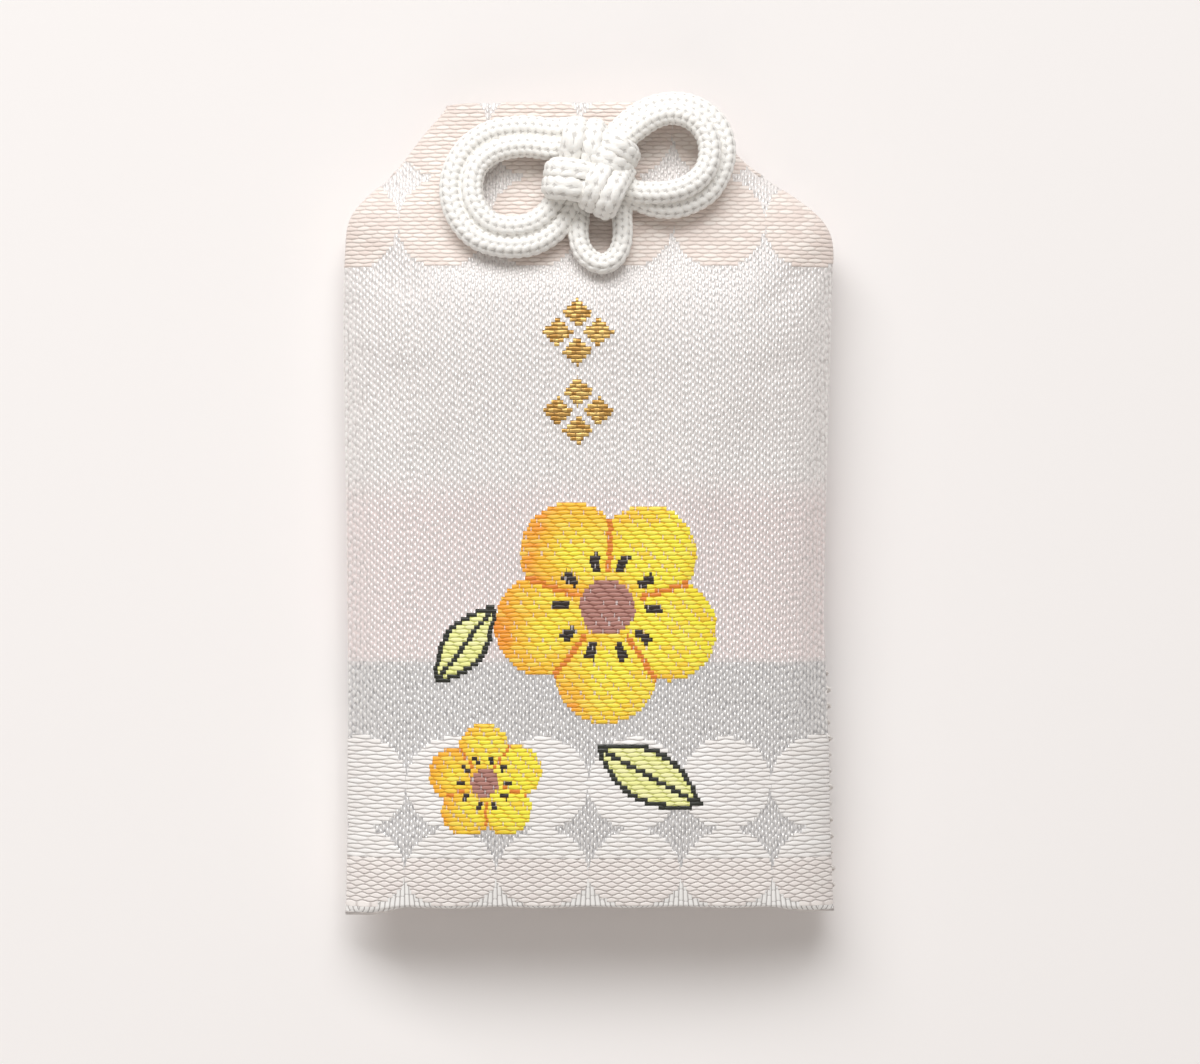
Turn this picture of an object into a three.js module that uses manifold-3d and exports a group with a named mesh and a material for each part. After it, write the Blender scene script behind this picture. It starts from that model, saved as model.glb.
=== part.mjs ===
// An omamori: a flat brocade charm pouch that holds a wooden slip in a paper wrapper,
// closed at its mouth by one white braided cord tied in a double-eared bow knot.
// Millimetres. The charm lies on its back: +X across, +Y towards the mouth, +Z up from the table.
import * as THREE from "three";
import { mergeVertices } from "three/addons/utils/BufferGeometryUtils.js";
import Module from "manifold-3d";

// Pouch, outside of the cloth.
const POUCH_WIDTH = 45;
const POUCH_LENGTH = 74.6;
const POUCH_THICKNESS = 9.5;
const MOUTH_WIDTH = 25;
const SHOULDER_DROP = 10.4;
const LEFT_SHOULDER_SAG = 0.6;
const RIGHT_SHOULDER_SAG = 3.2;
const SIDE_DRAW = 0.5;
const SEAM_HEIGHT = 4.4;
const RIM_RISE = 0.9;
const BOTTOM_ROUND = 3;
const FRONT_TAPER = 24;
const BACK_BOTTOM_ROUND = 6;
const BACK_TAPER = 20;
const MOUTH_SHARE = 0.12;
const FRONT_FULLNESS = 4;
const FRONT_EDGE = 0.6;
const BACK_FLAT_SHARE = 0.78;

// Layers of the pouch and what it holds.
const CLOTH = 0.6;
const INTERFACING = 0.3;
const CLEARANCE = 0.3;
const INTERFACING_INSET = 3;
const INTERFACING_FOOT = 6;
const FLAP_THICKNESS = 1.0;
const FLAP_INNER_X = 12;
const FLAP_EDGE_INSET = 0.6;
const THREAD_DIAMETER = 0.7;
const THREAD_END_INSET = 3;
const CARD_SIDE_INSET = 5.5;
const CARD_END_INSET = 1;
const CARD_THICKNESS = 1.0;
const CARD_CORNER = 3;
const WRAPPER_SIDE_INSET = 3;
const WRAPPER_WALL = 0.4;
const SLIP_THICKNESS = 1.2;
const SLIP_PEAK = 3;
const SLIP_HEADROOM = 3;
const CHARM_TRAVEL = 6;
const CHARM_END_PLAY = 1;
const PAD_OVERHANG = 1;
const PAD_DRAW = 0.8;

// Cord and knot. The cord is narrower where the knot presses it.
const CORD_DIAMETER = 1.8;
const PRESSED_DIAMETER = 1.7;
const KNOT_X = 0.45;
const KNOT_DROP = 5.8;
const KNOT_REACH_DOWN = 7.5;
const KNOT_REACH_UP = 4;
const EYELET_SPACING = 5.2;
const BRIDGE_BEND = 1.5;

// Facets.
const CROSS_STEPS = 20;
const CORD_SIDES = 8;
const THREAD_SIDES = 6;

const wasm = await Module();
wasm.setup();

const charm = new THREE.Group();
const yMouth = POUCH_LENGTH / 2;
const yFold = -POUCH_LENGTH / 2 + RIM_RISE;
const yShoulder = yMouth - SHOULDER_DROP;
const yKnot = yMouth - KNOT_DROP;
const frontCrown = POUCH_THICKNESS - SEAM_HEIGHT;
const cordRadius = CORD_DIAMETER / 2;
const pressedRadius = PRESSED_DIAMETER / 2;

const brocade = new THREE.MeshStandardMaterial({ color: 0xe9e4e2, roughness: 0.55 });
const lining = new THREE.MeshStandardMaterial({ color: 0xf3f1ec, roughness: 0.9 });
const thread = new THREE.MeshStandardMaterial({ color: 0xf4f2ee, roughness: 0.6 });
const board = new THREE.MeshStandardMaterial({ color: 0xcfc3ab, roughness: 0.95 });
const washi = new THREE.MeshStandardMaterial({ color: 0xf7f4ea, roughness: 0.9 });
const cypress = new THREE.MeshStandardMaterial({ color: 0xe0c493, roughness: 0.7 });
const cotton = new THREE.MeshStandardMaterial({ color: 0xfaf9f5, roughness: 1.0 });
const silk = new THREE.MeshStandardMaterial({ color: 0xfbf9f4, roughness: 0.5 });

function addPiece(name, geometry, material) {
  const mesh = new THREE.Mesh(geometry, material);
  mesh.name = name;
  charm.add(mesh);
}

// Boolean work.
function solidOf(geometry) {
  const bare = new THREE.BufferGeometry();
  const source = geometry.index ? geometry.toNonIndexed() : geometry;
  bare.setAttribute("position", source.getAttribute("position").clone());
  const merged = mergeVertices(bare, 1e-4);
  return new wasm.Manifold(
    new wasm.Mesh({
      numProp: 3,
      vertProperties: new Float32Array(merged.attributes.position.array),
      triVerts: new Uint32Array(merged.index.array),
    }),
  );
}

function geometryOf(solid) {
  const mesh = solid.getMesh();
  const geometry = new THREE.BufferGeometry();
  geometry.setAttribute("position", new THREE.BufferAttribute(mesh.vertProperties, 3));
  geometry.setIndex(new THREE.BufferAttribute(mesh.triVerts, 1));
  return geometry;
}

// A closed skin between two grids of points with the same rows and columns.
function slab(rows, columns, upper, lower) {
  const width = columns + 1;
  const layer = (rows + 1) * width;
  const position = [];
  const index = [];
  for (const point of [upper, lower]) {
    for (let i = 0; i <= rows; i++) {
      for (let j = 0; j <= columns; j++) {
        position.push(...point(i, j).toArray());
      }
    }
  }
  const quad = (a, b, c, d) => index.push(a, b, c, a, c, d);
  for (let i = 0; i < rows; i++) {
    for (let j = 0; j < columns; j++) {
      const a = i * width + j;
      quad(a, a + width, a + width + 1, a + 1);
      quad(layer + a, layer + a + 1, layer + a + width + 1, layer + a + width);
    }
  }
  const last = rows * width;
  for (let j = 0; j < columns; j++) {
    quad(j, j + 1, layer + j + 1, layer + j);
    quad(last + j, layer + last + j, layer + last + j + 1, last + j + 1);
  }
  for (let i = 0; i < rows; i++) {
    const a = i * width;
    const b = a + columns;
    quad(a, layer + a, layer + a + width, a + width);
    quad(b, b + width, layer + b + width, layer + b);
  }
  const geometry = new THREE.BufferGeometry();
  geometry.setAttribute("position", new THREE.Float32BufferAttribute(position, 3));
  geometry.setIndex(index);
  return geometry;
}

// A round tube along a smooth curve through the points.
function tube(points, radius, steps, sides) {
  const section = new THREE.Shape().absarc(0, 0, radius, 0, 2 * Math.PI);
  return new THREE.ExtrudeGeometry(section, {
    extrudePath: new THREE.CatmullRomCurve3(points, false, "centripetal"),
    steps,
    curveSegments: sides / 2,
    bevelEnabled: false,
  });
}

function plate(outline, thickness, z) {
  const geometry = new THREE.ExtrudeGeometry(outline, { depth: thickness, bevelEnabled: false, curveSegments: 4 });
  return geometry.translate(0, 0, z);
}

// The pouch's form: half its width on the side that x is on, and how high the front and how deep the back
// stand off the seams. The right shoulder is drawn in further than the left.
function halfWidth(y, x) {
  const half = POUCH_WIDTH / 2;
  if (y <= yShoulder) {
    const along = (y + POUCH_LENGTH / 2) / (yShoulder + POUCH_LENGTH / 2);
    return half - SIDE_DRAW * Math.sin(Math.PI * along);
  }
  const climb = (y - yShoulder) / SHOULDER_DROP;
  const straight = THREE.MathUtils.lerp(half, MOUTH_WIDTH / 2, climb);
  const sag = x < 0 ? LEFT_SHOULDER_SAG : RIGHT_SHOULDER_SAG;
  return straight - sag * Math.sin(Math.PI * climb);
}

function alongLength(y, round, taper) {
  const up = y - yFold;
  const down = yMouth - y;
  const rise = up < round ? Math.sqrt(Math.max(0, 1 - (1 - up / round) ** 2)) : 1;
  const fall = THREE.MathUtils.smoothstep(down, 0, taper);
  return rise * (MOUTH_SHARE + (1 - MOUTH_SHARE) * fall);
}

function frontRise(u, y) {
  const across = Math.max(0, 1 - Math.abs(u) ** FRONT_FULLNESS) ** FRONT_EDGE;
  return RIM_RISE + (frontCrown - RIM_RISE) * across * alongLength(y, BOTTOM_ROUND, FRONT_TAPER);
}

function backDepth(u, y) {
  const past = Math.max(0, (Math.abs(u) - BACK_FLAT_SHARE) / (1 - BACK_FLAT_SHARE));
  const across = Math.sqrt(Math.max(0, 1 - past ** 2));
  return RIM_RISE + (SEAM_HEIGHT - RIM_RISE) * across * alongLength(y, BACK_BOTTOM_ROUND, BACK_TAPER);
}

function overPouch(x, y, form) {
  const inside = THREE.MathUtils.clamp(y, yFold, yMouth);
  const u = THREE.MathUtils.clamp(x / halfWidth(inside, x), -1, 1);
  return form(u, inside);
}

const frontZ = (x, y) => SEAM_HEIGHT + overPouch(x, y, frontRise);
const backZ = (x, y) => SEAM_HEIGHT - overPouch(x, y, backDepth);

// Columns crowd towards the side seams, where the cloth turns fastest.
const acrossShare = (j) => Math.sin((Math.PI / 2) * ((2 * j) / CROSS_STEPS - 1));

// Brocade: one strip, mouth to mouth round the bottom fold.
function brocadeRows() {
  const rounding = [0, 0.08, 0.3, 0.65].map((s) => yFold + s * BOTTOM_ROUND);
  const straight = [0, 0.06, 0.15, 0.3, 0.45, 0.6, 0.75, 0.87, 0.95, 1];
  const body = [...rounding, ...straight.map((s) => THREE.MathUtils.lerp(yFold + BOTTOM_ROUND, yShoulder, s))];
  const shoulder = [0.17, 0.33, 0.5, 0.67, 0.83, 1].map((s) => yShoulder + s * SHOULDER_DROP);
  const climb = [...body, ...shoulder];
  const front = [...climb].reverse().map((y) => ({ y, side: 1 }));
  const fold = [60, 30, 0, -30, -60].map((degrees) => ({ turn: THREE.MathUtils.degToRad(degrees) }));
  const back = climb.map((y) => ({ y, side: -1 }));
  return [...front, ...fold, ...back];
}

function brocadePoint(row, u, inset) {
  if (row.side === undefined) {
    const radius = RIM_RISE - inset;
    return new THREE.Vector3(
      u * (halfWidth(yFold, u) - inset),
      yFold - radius * Math.cos(row.turn),
      SEAM_HEIGHT + radius * Math.sin(row.turn),
    );
  }
  const rise = row.side > 0 ? frontRise(u, row.y) : backDepth(u, row.y);
  return new THREE.Vector3(u * (halfWidth(row.y, u) - inset), row.y, SEAM_HEIGHT + row.side * (rise - inset));
}

const eyelets = [-1, 1].map((side) => KNOT_X + (side * EYELET_SPACING) / 2);

function withEyelets(geometry) {
  const drilled = eyelets.reduce((solid, x) => {
    const drill = new THREE.CylinderGeometry(cordRadius + CLEARANCE, cordRadius + CLEARANCE, 2 * POUCH_THICKNESS, 12);
    drill.rotateX(Math.PI / 2).translate(x, yKnot, SEAM_HEIGHT);
    return solid.subtract(solidOf(drill));
  }, solidOf(geometry));
  return geometryOf(drilled);
}

function makeBrocade() {
  const rows = brocadeRows();
  const strip = slab(
    rows.length - 1,
    CROSS_STEPS,
    (i, j) => brocadePoint(rows[i], acrossShare(j), 0),
    (i, j) => brocadePoint(rows[i], acrossShare(j), CLOTH),
  );
  addPiece("brocade_pouch", withEyelets(strip), brocade);
}

// Interfacing: a stiff sheet ironed inside each face of the cloth.
function makeInterfacing(name, surface, inward) {
  const foot = yFold + INTERFACING_FOOT;
  const head = yMouth - INTERFACING_INSET;
  const rows = 16;
  const columns = 14;
  const point = (depth) => (i, j) => {
    const y = THREE.MathUtils.lerp(head, foot, i / rows);
    const share = (2 * j) / columns - 1;
    const x = share * (halfWidth(y, share) - INTERFACING_INSET);
    return new THREE.Vector3(x, y, surface(x, y) + inward * depth);
  };
  const near = point(CLOTH + CLEARANCE);
  const far = point(CLOTH + CLEARANCE + INTERFACING);
  const sheet = inward < 0 ? slab(rows, columns, near, far) : slab(rows, columns, far, near);
  addPiece(name, withEyelets(sheet), lining);
}

// Side seams: the sewing thread that lies in the groove between the two edges of the cloth.
function makeSideSeam(name, side) {
  const foot = yFold + THREAD_END_INSET;
  const head = yShoulder - THREAD_END_INSET;
  const count = 12;
  const points = Array.from({ length: count + 1 }, (_, i) => {
    const y = THREE.MathUtils.lerp(foot, head, i / count);
    return new THREE.Vector3(side * halfWidth(y, side), y, SEAM_HEIGHT);
  });
  addPiece(name, tube(points, THREAD_DIAMETER / 2, 2 * count, THREAD_SIDES), thread);
}

// Corner flaps: the pouch's top corners, turned down behind the shoulders.
function makeCornerFlap(name, side) {
  const rows = 8;
  const columns = 6;
  const point = (drop) => (i, j) => {
    const y = THREE.MathUtils.lerp(yShoulder, yMouth - 2 * CLEARANCE, i / rows);
    const outer = halfWidth(y, side) - FLAP_EDGE_INSET;
    const inner = Math.min(FLAP_INNER_X, outer - CLEARANCE);
    const x = side * THREE.MathUtils.lerp(inner, outer, j / columns);
    return new THREE.Vector3(x, y, backZ(x, y) - CLEARANCE - drop);
  };
  const near = point(0);
  const far = point(FLAP_THICKNESS);
  const flap = side > 0 ? slab(rows, columns, far, near) : slab(rows, columns, near, far);
  addPiece(name, flap, brocade);
}

// What the pouch holds, from the back up: card, wrapped slip, wadding.
const cardZ = CLOTH + CLEARANCE + INTERFACING + CLEARANCE;
const wrapperZ = cardZ + CARD_THICKNESS + CLEARANCE;
const wrapperThickness = SLIP_THICKNESS + 2 * (WRAPPER_WALL + CLEARANCE);
const padZ = wrapperZ + wrapperThickness + CLEARANCE;
const contentsFoot = yFold + BACK_BOTTOM_ROUND + CARD_END_INSET;
const cardLength = yMouth - BACK_TAPER - CARD_END_INSET - contentsFoot;
const cardWidth = POUCH_WIDTH - 2 * (SIDE_DRAW + CARD_SIDE_INSET);
const wrapperWidth = cardWidth - 2 * WRAPPER_SIDE_INSET;
const wrapperLength = cardLength - CHARM_TRAVEL - CHARM_END_PLAY;
const padWidth = cardWidth + 2 * PAD_OVERHANG;
const padLength = cardLength + 2 * PAD_OVERHANG;

function makeCard() {
  const half = cardWidth / 2;
  const top = contentsFoot + cardLength;
  const outline = new THREE.Shape()
    .moveTo(-half, contentsFoot)
    .lineTo(half, contentsFoot)
    .lineTo(half, top - CARD_CORNER)
    .lineTo(half - CARD_CORNER, top)
    .lineTo(-half + CARD_CORNER, top)
    .lineTo(-half, top - CARD_CORNER)
    .closePath();
  addPiece("stiffener_card", plate(outline, CARD_THICKNESS, cardZ), board);
}

// The wrapper is a paper sleeve, shut at its foot and open at its head.
function makeWrapper() {
  const inner = wrapperWidth - 2 * WRAPPER_WALL;
  const sleeve = new THREE.BoxGeometry(wrapperWidth, wrapperLength, wrapperThickness);
  const pocket = new THREE.BoxGeometry(inner, wrapperLength, wrapperThickness - 2 * WRAPPER_WALL);
  pocket.translate(0, WRAPPER_WALL, 0);
  const geometry = geometryOf(solidOf(sleeve).subtract(solidOf(pocket)));
  geometry.translate(0, contentsFoot + wrapperLength / 2, wrapperZ + wrapperThickness / 2);
  addPiece("charm_wrapper", geometry, washi);
}

function makeSlip() {
  const half = wrapperWidth / 2 - WRAPPER_WALL - CLEARANCE;
  const foot = contentsFoot + WRAPPER_WALL + CLEARANCE;
  const top = contentsFoot + wrapperLength - SLIP_HEADROOM;
  const outline = new THREE.Shape()
    .moveTo(-half, foot)
    .lineTo(half, foot)
    .lineTo(half, top - SLIP_PEAK)
    .lineTo(0, top)
    .lineTo(-half, top - SLIP_PEAK)
    .closePath();
  addPiece("charm_slip", plate(outline, SLIP_THICKNESS, wrapperZ + WRAPPER_WALL + CLEARANCE), cypress);
}

// Wadding: a crowned pad between the wrapper and the front, with its sides drawn in between the corners.
function makePad() {
  const rows = 14;
  const columns = 12;
  const depth = CLOTH + INTERFACING + 2 * CLEARANCE;
  const place = (i, j) => {
    const a = (2 * i) / rows - 1;
    const b = (2 * j) / columns - 1;
    const x = b * (padWidth / 2 - PAD_DRAW * (1 - a * a));
    const y = contentsFoot + cardLength / 2 - a * (padLength / 2 - PAD_DRAW * (1 - b * b));
    return [x, y];
  };
  const crown = (i, j) => {
    const [x, y] = place(i, j);
    return new THREE.Vector3(x, y, frontZ(x, y) - depth);
  };
  const base = (i, j) => new THREE.Vector3(...place(i, j), padZ);
  addPiece("wadding_pad", slab(rows, columns, crown, base), cotton);
}

// The knot lies on a sloping plane that rests on the front of the pouch.
const planeFoot = frontZ(KNOT_X, yKnot - KNOT_REACH_DOWN);
const planeHead = frontZ(KNOT_X, yKnot + KNOT_REACH_UP);
const planeSlope = (planeFoot - planeHead) / (KNOT_REACH_DOWN + KNOT_REACH_UP);
const onKnotPlane = (x, y, lift) =>
  new THREE.Vector3(KNOT_X + x, yKnot + y, planeHead + planeSlope * (KNOT_REACH_UP - y) + lift);
const earLift = cordRadius + CLEARANCE;
const heartLift = pressedRadius + CLEARANCE;
const rootLift = heartLift + 2 * pressedRadius + CLEARANCE;
const bodyLift = rootLift + 2 * pressedRadius + CLEARANCE;

// Free loops of the cord, as points [x, y] from the knot's middle, from one side of it round to the other.
const LOOPS = {
  left_ear_outer: [
    [-3.65, 3.4], [-6.65, 3.7], [-9.75, 3.1], [-11.95, 1.4], [-13.15, -1.3], [-12.85, -4.2],
    [-11.05, -6.6], [-8.35, -7.5], [-5.65, -7.3], [-3.65, -6.2], [-2.95, -5.5],
  ],
  left_ear_inner: [
    [-3.65, 1.4], [-6.65, 1.65], [-9.05, 1], [-10.65, -0.4], [-11.15, -2], [-10.75, -3.5],
    [-9.35, -5], [-7.45, -5.45], [-5.65, -5], [-4.35, -4.1],
  ],
  right_ear_outer: [
    [4.45, 4.4], [6.15, 5.6], [8.15, 6.1], [10.25, 5.4], [11.85, 3.8], [12.5, 1.4],
    [11.95, -1.2], [10.45, -2.9], [8.15, -4], [5.95, -4.2], [4.25, -3.9],
  ],
  right_ear_inner: [
    [4.65, 2.1], [5.65, 3], [6.95, 3.8], [8.25, 4.05], [9.55, 3.55], [10.3, 2.6],
    [10.5, 1.3], [10.2, -0.2], [9.35, -1.25], [7.85, -2], [6.15, -2.2], [4.45, -2],
  ],
  drop_loop: [
    [-1.3, -5.4], [-1.4, -6.4], [-1.05, -7.7], [-0.2, -8.7], [0.85, -9.1], [1.95, -8.7],
    [2.65, -7.6], [2.85, -6.4], [2.8, -5.4],
  ],
};

// Least gap of a cord's surface to itself, away from its own neighbourhood.
function leastGap(curve, diameter) {
  const points = curve.getSpacedPoints(160);
  const step = curve.getLength() / 160;
  const apart = Math.ceil((Math.PI * diameter) / step);
  let least = Infinity;
  points.forEach((p, i) => {
    for (let j = i + apart; j < points.length; j++) {
      least = Math.min(least, p.distanceTo(points[j]) - diameter);
    }
  });
  return least;
}

function makeLoops() {
  for (const [name, route] of Object.entries(LOOPS)) {
    const points = route.map(([x, y]) => onKnotPlane(x, y, earLift));
    const curve = new THREE.CatmullRomCurve3(points, false, "centripetal");
    const gap = leastGap(curve, CORD_DIAMETER);
    console.log(`${name}: ${curve.getLength().toFixed(1)} mm long, least gap to itself ${gap.toFixed(2)} mm`);
    addPiece(name, tube(points, cordRadius, 24, CORD_SIDES), silk);
  }
}

// The knot's face: four pairs of strands that turn round the middle like the flaps of a shut box.
// A strand climbs from its root, runs outwards and turns down over the knot's edge.
const WRAPS = ["top", "left", "bottom", "right"];
const INNER_OFFSET = 0.1;
const OUTER_OFFSET = 2.15;
const INNER_ROUTE = [[1.1, -0.9], [1.7, -0.1], [2.5, 0], [3.3, -0.35], [3.75, -1.3], [3.8, -2.6]];
const OUTER_ROUTE = [[0.3, -2], [1, -1.85], [1.8, -0.6], [2.5, 0], [3.3, -0.35], [3.75, -1.3], [3.8, -2.6]];

function makeWraps() {
  WRAPS.forEach((name, quarter) => {
    const outward = new THREE.Vector2(0, 1).rotateAround(new THREE.Vector2(), (quarter * Math.PI) / 2);
    const left = new THREE.Vector2(-outward.y, outward.x);
    const strands = { inner: [INNER_OFFSET, INNER_ROUTE], outer: [OUTER_OFFSET, OUTER_ROUTE] };
    for (const [strand, [offset, route]] of Object.entries(strands)) {
      const points = route.map(([along, drop]) =>
        onKnotPlane(
          outward.x * along + left.x * offset,
          outward.y * along + left.y * offset,
          bodyLift + drop,
        ),
      );
      addPiece(`knot_${name}_${strand}`, tube(points, pressedRadius, 12, CORD_SIDES), silk);
    }
  });
}

// The heart of the knot: the stretches that cross under its face, from loop to loop.
const HEART = [
  [[-3.05, 3], [-0.05, 2.7], [3.75, 3.7]],
  [[-3.05, 1.3], [-0.05, 1.1], [3.85, 1.9]],
  [[-3.75, -3.5], [-0.05, -2.2], [3.75, -2.1]],
  [[-2.55, -4.4], [-0.05, -3.2], [3.55, -3.6]],
  [[-1.3, -4.9], [-2.05, -2], [-2.55, 0], [-2.05, 2.5]],
  [[2.8, -4.9], [2.65, -2], [2.6, 0], [2.15, 2.5]],
];

function makeHeart() {
  const strands = HEART.map((route) =>
    solidOf(tube(route.map(([x, y]) => onKnotPlane(x, y, heartLift)), pressedRadius, 8, CORD_SIDES)),
  );
  addPiece("knot_heart", geometryOf(strands.reduce((whole, strand) => whole.add(strand))), silk);
}

// The bridge: the stretch that passes through both eyelets and holds the mouth shut across the back.
function makeBridge() {
  const [left, right] = eyelets;
  const low = Math.min(backZ(left, yKnot), backZ(right, yKnot)) - CLEARANCE - cordRadius;
  const corner = 1 - Math.SQRT1_2;
  const at = (x, z) => new THREE.Vector3(x, yKnot, z);
  const points = [
    at(left, frontZ(left, yKnot)),
    at(left, SEAM_HEIGHT),
    at(left, low + BRIDGE_BEND),
    at(left + corner * BRIDGE_BEND, low + corner * BRIDGE_BEND),
    at(left + BRIDGE_BEND, low),
    at(right - BRIDGE_BEND, low),
    at(right - corner * BRIDGE_BEND, low + corner * BRIDGE_BEND),
    at(right, low + BRIDGE_BEND),
    at(right, SEAM_HEIGHT),
    at(right, frontZ(right, yKnot)),
  ];
  addPiece("closing_bridge", tube(points, cordRadius, 24, CORD_SIDES), silk);
}

makeBrocade();
makeInterfacing("front_interfacing", frontZ, -1);
makeInterfacing("back_interfacing", backZ, 1);
makeSideSeam("left_side_seam", -1);
makeSideSeam("right_side_seam", 1);
makeCornerFlap("left_corner_flap", -1);
makeCornerFlap("right_corner_flap", 1);
makeCard();
makeWrapper();
makeSlip();
makePad();
makeLoops();
makeWraps();
makeHeart();
makeBridge();

export default charm;
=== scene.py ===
import math

import bmesh
import bpy
import numpy as np
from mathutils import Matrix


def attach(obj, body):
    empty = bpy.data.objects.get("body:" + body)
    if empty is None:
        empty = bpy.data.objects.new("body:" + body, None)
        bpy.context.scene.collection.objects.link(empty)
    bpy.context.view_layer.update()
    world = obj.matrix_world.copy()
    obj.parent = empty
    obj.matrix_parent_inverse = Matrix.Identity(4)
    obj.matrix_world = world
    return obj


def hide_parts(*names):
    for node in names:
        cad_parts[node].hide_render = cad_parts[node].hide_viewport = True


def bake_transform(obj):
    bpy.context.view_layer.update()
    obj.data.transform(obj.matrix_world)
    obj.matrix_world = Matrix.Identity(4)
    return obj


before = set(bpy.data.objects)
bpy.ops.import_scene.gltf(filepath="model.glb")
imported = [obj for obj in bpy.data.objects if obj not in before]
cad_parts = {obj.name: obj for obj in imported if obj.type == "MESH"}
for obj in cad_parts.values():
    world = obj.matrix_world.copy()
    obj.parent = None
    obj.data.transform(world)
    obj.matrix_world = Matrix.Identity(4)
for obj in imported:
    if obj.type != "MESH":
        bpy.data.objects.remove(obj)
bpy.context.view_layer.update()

# Lengths below are millimetres, as in the part's source, and become metres when a mesh is made.
MM = 0.001

# The pouch lies on its back: its front swells above the side seams and its back hangs below them.
POUCH_LENGTH = 74.6
Y_MOUTH = POUCH_LENGTH / 2
RIM_RISE = 0.9
Y_FOLD = -POUCH_LENGTH / 2 + RIM_RISE
SEAM_HEIGHT = 4.4
MOUTH_SHARE = 0.12
FRONT_CROWN = 5.1
FRONT_FULLNESS = 5.0
FRONT_EDGE = 0.6
FRONT_TAPER = 24.0
BOTTOM_ROUND = 8.0
BOTTOM_SHARE = 0.84
BACK_BOTTOM_ROUND = 6.0
BACK_BOTTOM_SHARE = 0.2
BACK_TAPER = 20.0
BACK_FLAT_SHARE = 0.78
CLEARANCE = 0.3

# The wall of the source's pouch, and the thinner cloth that is shown in its place.
CLOTH = 0.6
WOVEN_THICKNESS = 0.3

# How the cloth turns at the bottom fold, at the side seams and at the hems of the mouth.
FOLD_EDGE = 0.4
FOLD_UNDERSIDE = 0.8
SEAM_GROOVE = 0.35
SEAM_SHARE = 0.9999
HEM_DEPTH = 7.0
HEM_ROUND = 0.35
HEM_SHARE = 0.985

# The outline of the sewn pouch, as x at each y, from the bottom fold to the mouth. Its corners are softened
# by the mean of several places along the edge.
LEFT_EDGE = [
    (-37.4, -22.55), (-30.0, -22.4), (-17.8, -22.4), (0.6, -22.6), (14.0, -22.85), (20.5, -22.85),
    (22.8, -22.65), (26.3, -22.5), (27.3, -22.0), (28.6, -20.7), (29.8, -19.1), (31.1, -17.6),
    (32.9, -16.5), (34.0, -15.6), (35.7, -14.1), (37.3, -12.6),
]
RIGHT_EDGE = [
    (-37.4, 22.5), (-30.0, 22.2), (-17.8, 22.0), (-10.4, 21.65), (5.3, 22.0), (19.1, 22.4),
    (23.7, 22.55), (25.6, 22.3), (26.9, 21.2), (28.3, 19.4), (29.7, 17.1), (31.4, 14.5),
    (32.3, 13.4), (34.5, 12.2), (37.3, 10.8),
]
CORNER_SOFTNESS = 1.2
CORNER_PLACES = 9

# The lower edge of the front, as y at each x: both corners hang below the wavy fold between them.
BOTTOM_EDGE = [
    (-22.5, -37.6), (-20.1, -37.6), (-18.65, -37.3), (-17.5, -36.9), (-16.7, -36.8), (-14.8, -36.87),
    (-12.3, -36.95), (-10.4, -36.82), (-8.35, -36.75), (-4.4, -36.92), (0.0, -36.75), (3.5, -36.9),
    (8.24, -36.72), (12.36, -36.88), (16.2, -36.78), (17.4, -36.9), (18.4, -37.1), (20.6, -37.28),
    (22.2, -37.25),
]

# The knot's plane over the front of the pouch, and how high its layers of cord lie above that plane.
KNOT = (0.45, 31.5)
KNOT_REACH_UP = 4.0
KNOT_HEAD_Z = 5.864
KNOT_SLOPE = 0.1814
CORD_RADIUS = 0.9
PRESSED_RADIUS = 0.85
EAR_RISE = 0.3
EAR_LIFT = CORD_RADIUS + CLEARANCE + EAR_RISE
HEART_LIFT = PRESSED_RADIUS + CLEARANCE
BODY_LIFT = HEART_LIFT + 4 * PRESSED_RADIUS + 2 * CLEARANCE


# Colours are given as they look on a screen, from 0 to 255.
def shade(red, green, blue):
    linear = []
    for channel in (red, green, blue):
        value = channel / 255
        linear.append(value / 12.92 if value <= 0.04045 else ((value + 0.055) / 1.055) ** 2.4)
    return (*linear, 1.0)


# Shader wiring: arithmetic on a Wire adds Math nodes to its tree.
class Wire:
    def __init__(self, tree, socket):
        self.tree = tree
        self.socket = socket

    def apply(self, operation, *others):
        node = self.tree.nodes.new("ShaderNodeMath")
        node.operation = operation
        for place, value in zip(node.inputs, (self, *others)):
            plug(self.tree, place, value)
        return Wire(self.tree, node.outputs[0])

    def __add__(self, other):
        return self.apply("ADD", other)

    def __sub__(self, other):
        return self.apply("SUBTRACT", other)

    def __rsub__(self, other):
        return (self * -1.0) + other

    def __mul__(self, other):
        return self.apply("MULTIPLY", other)

    def __truediv__(self, other):
        return self.apply("DIVIDE", other)

    def __abs__(self):
        return self.apply("ABSOLUTE")

    def floor(self):
        return self.apply("FLOOR")

    def part(self):
        return self.apply("FRACT")

    def power(self, exponent):
        return self.apply("POWER", exponent)

    def least(self, other):
        return self.apply("MINIMUM", other)

    def most(self, other):
        return self.apply("MAXIMUM", other)

    def below(self, limit):
        return self.apply("LESS_THAN", limit)

    def above(self, limit):
        return self.apply("GREATER_THAN", limit)

    def clip(self):
        return self.most(0.0).least(1.0)

    # How far the value is out from the middle of its unit cell: 0 there, 1 at the cell's ends.
    def from_middle(self):
        return abs(self.part() * 2.0 - 1.0)

    # From 0 where the value is at low, to 1 where it is at high.
    def ramp(self, low, high):
        node = self.tree.nodes.new("ShaderNodeMapRange")
        node.interpolation_type = "SMOOTHSTEP"
        plug(self.tree, node.inputs["Value"], self)
        plug(self.tree, node.inputs["From Min"], low)
        plug(self.tree, node.inputs["From Max"], high)
        return Wire(self.tree, node.outputs[0])


def plug(tree, place, value):
    if isinstance(value, Wire):
        tree.links.new(value.socket, place)
    else:
        place.default_value = value


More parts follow.
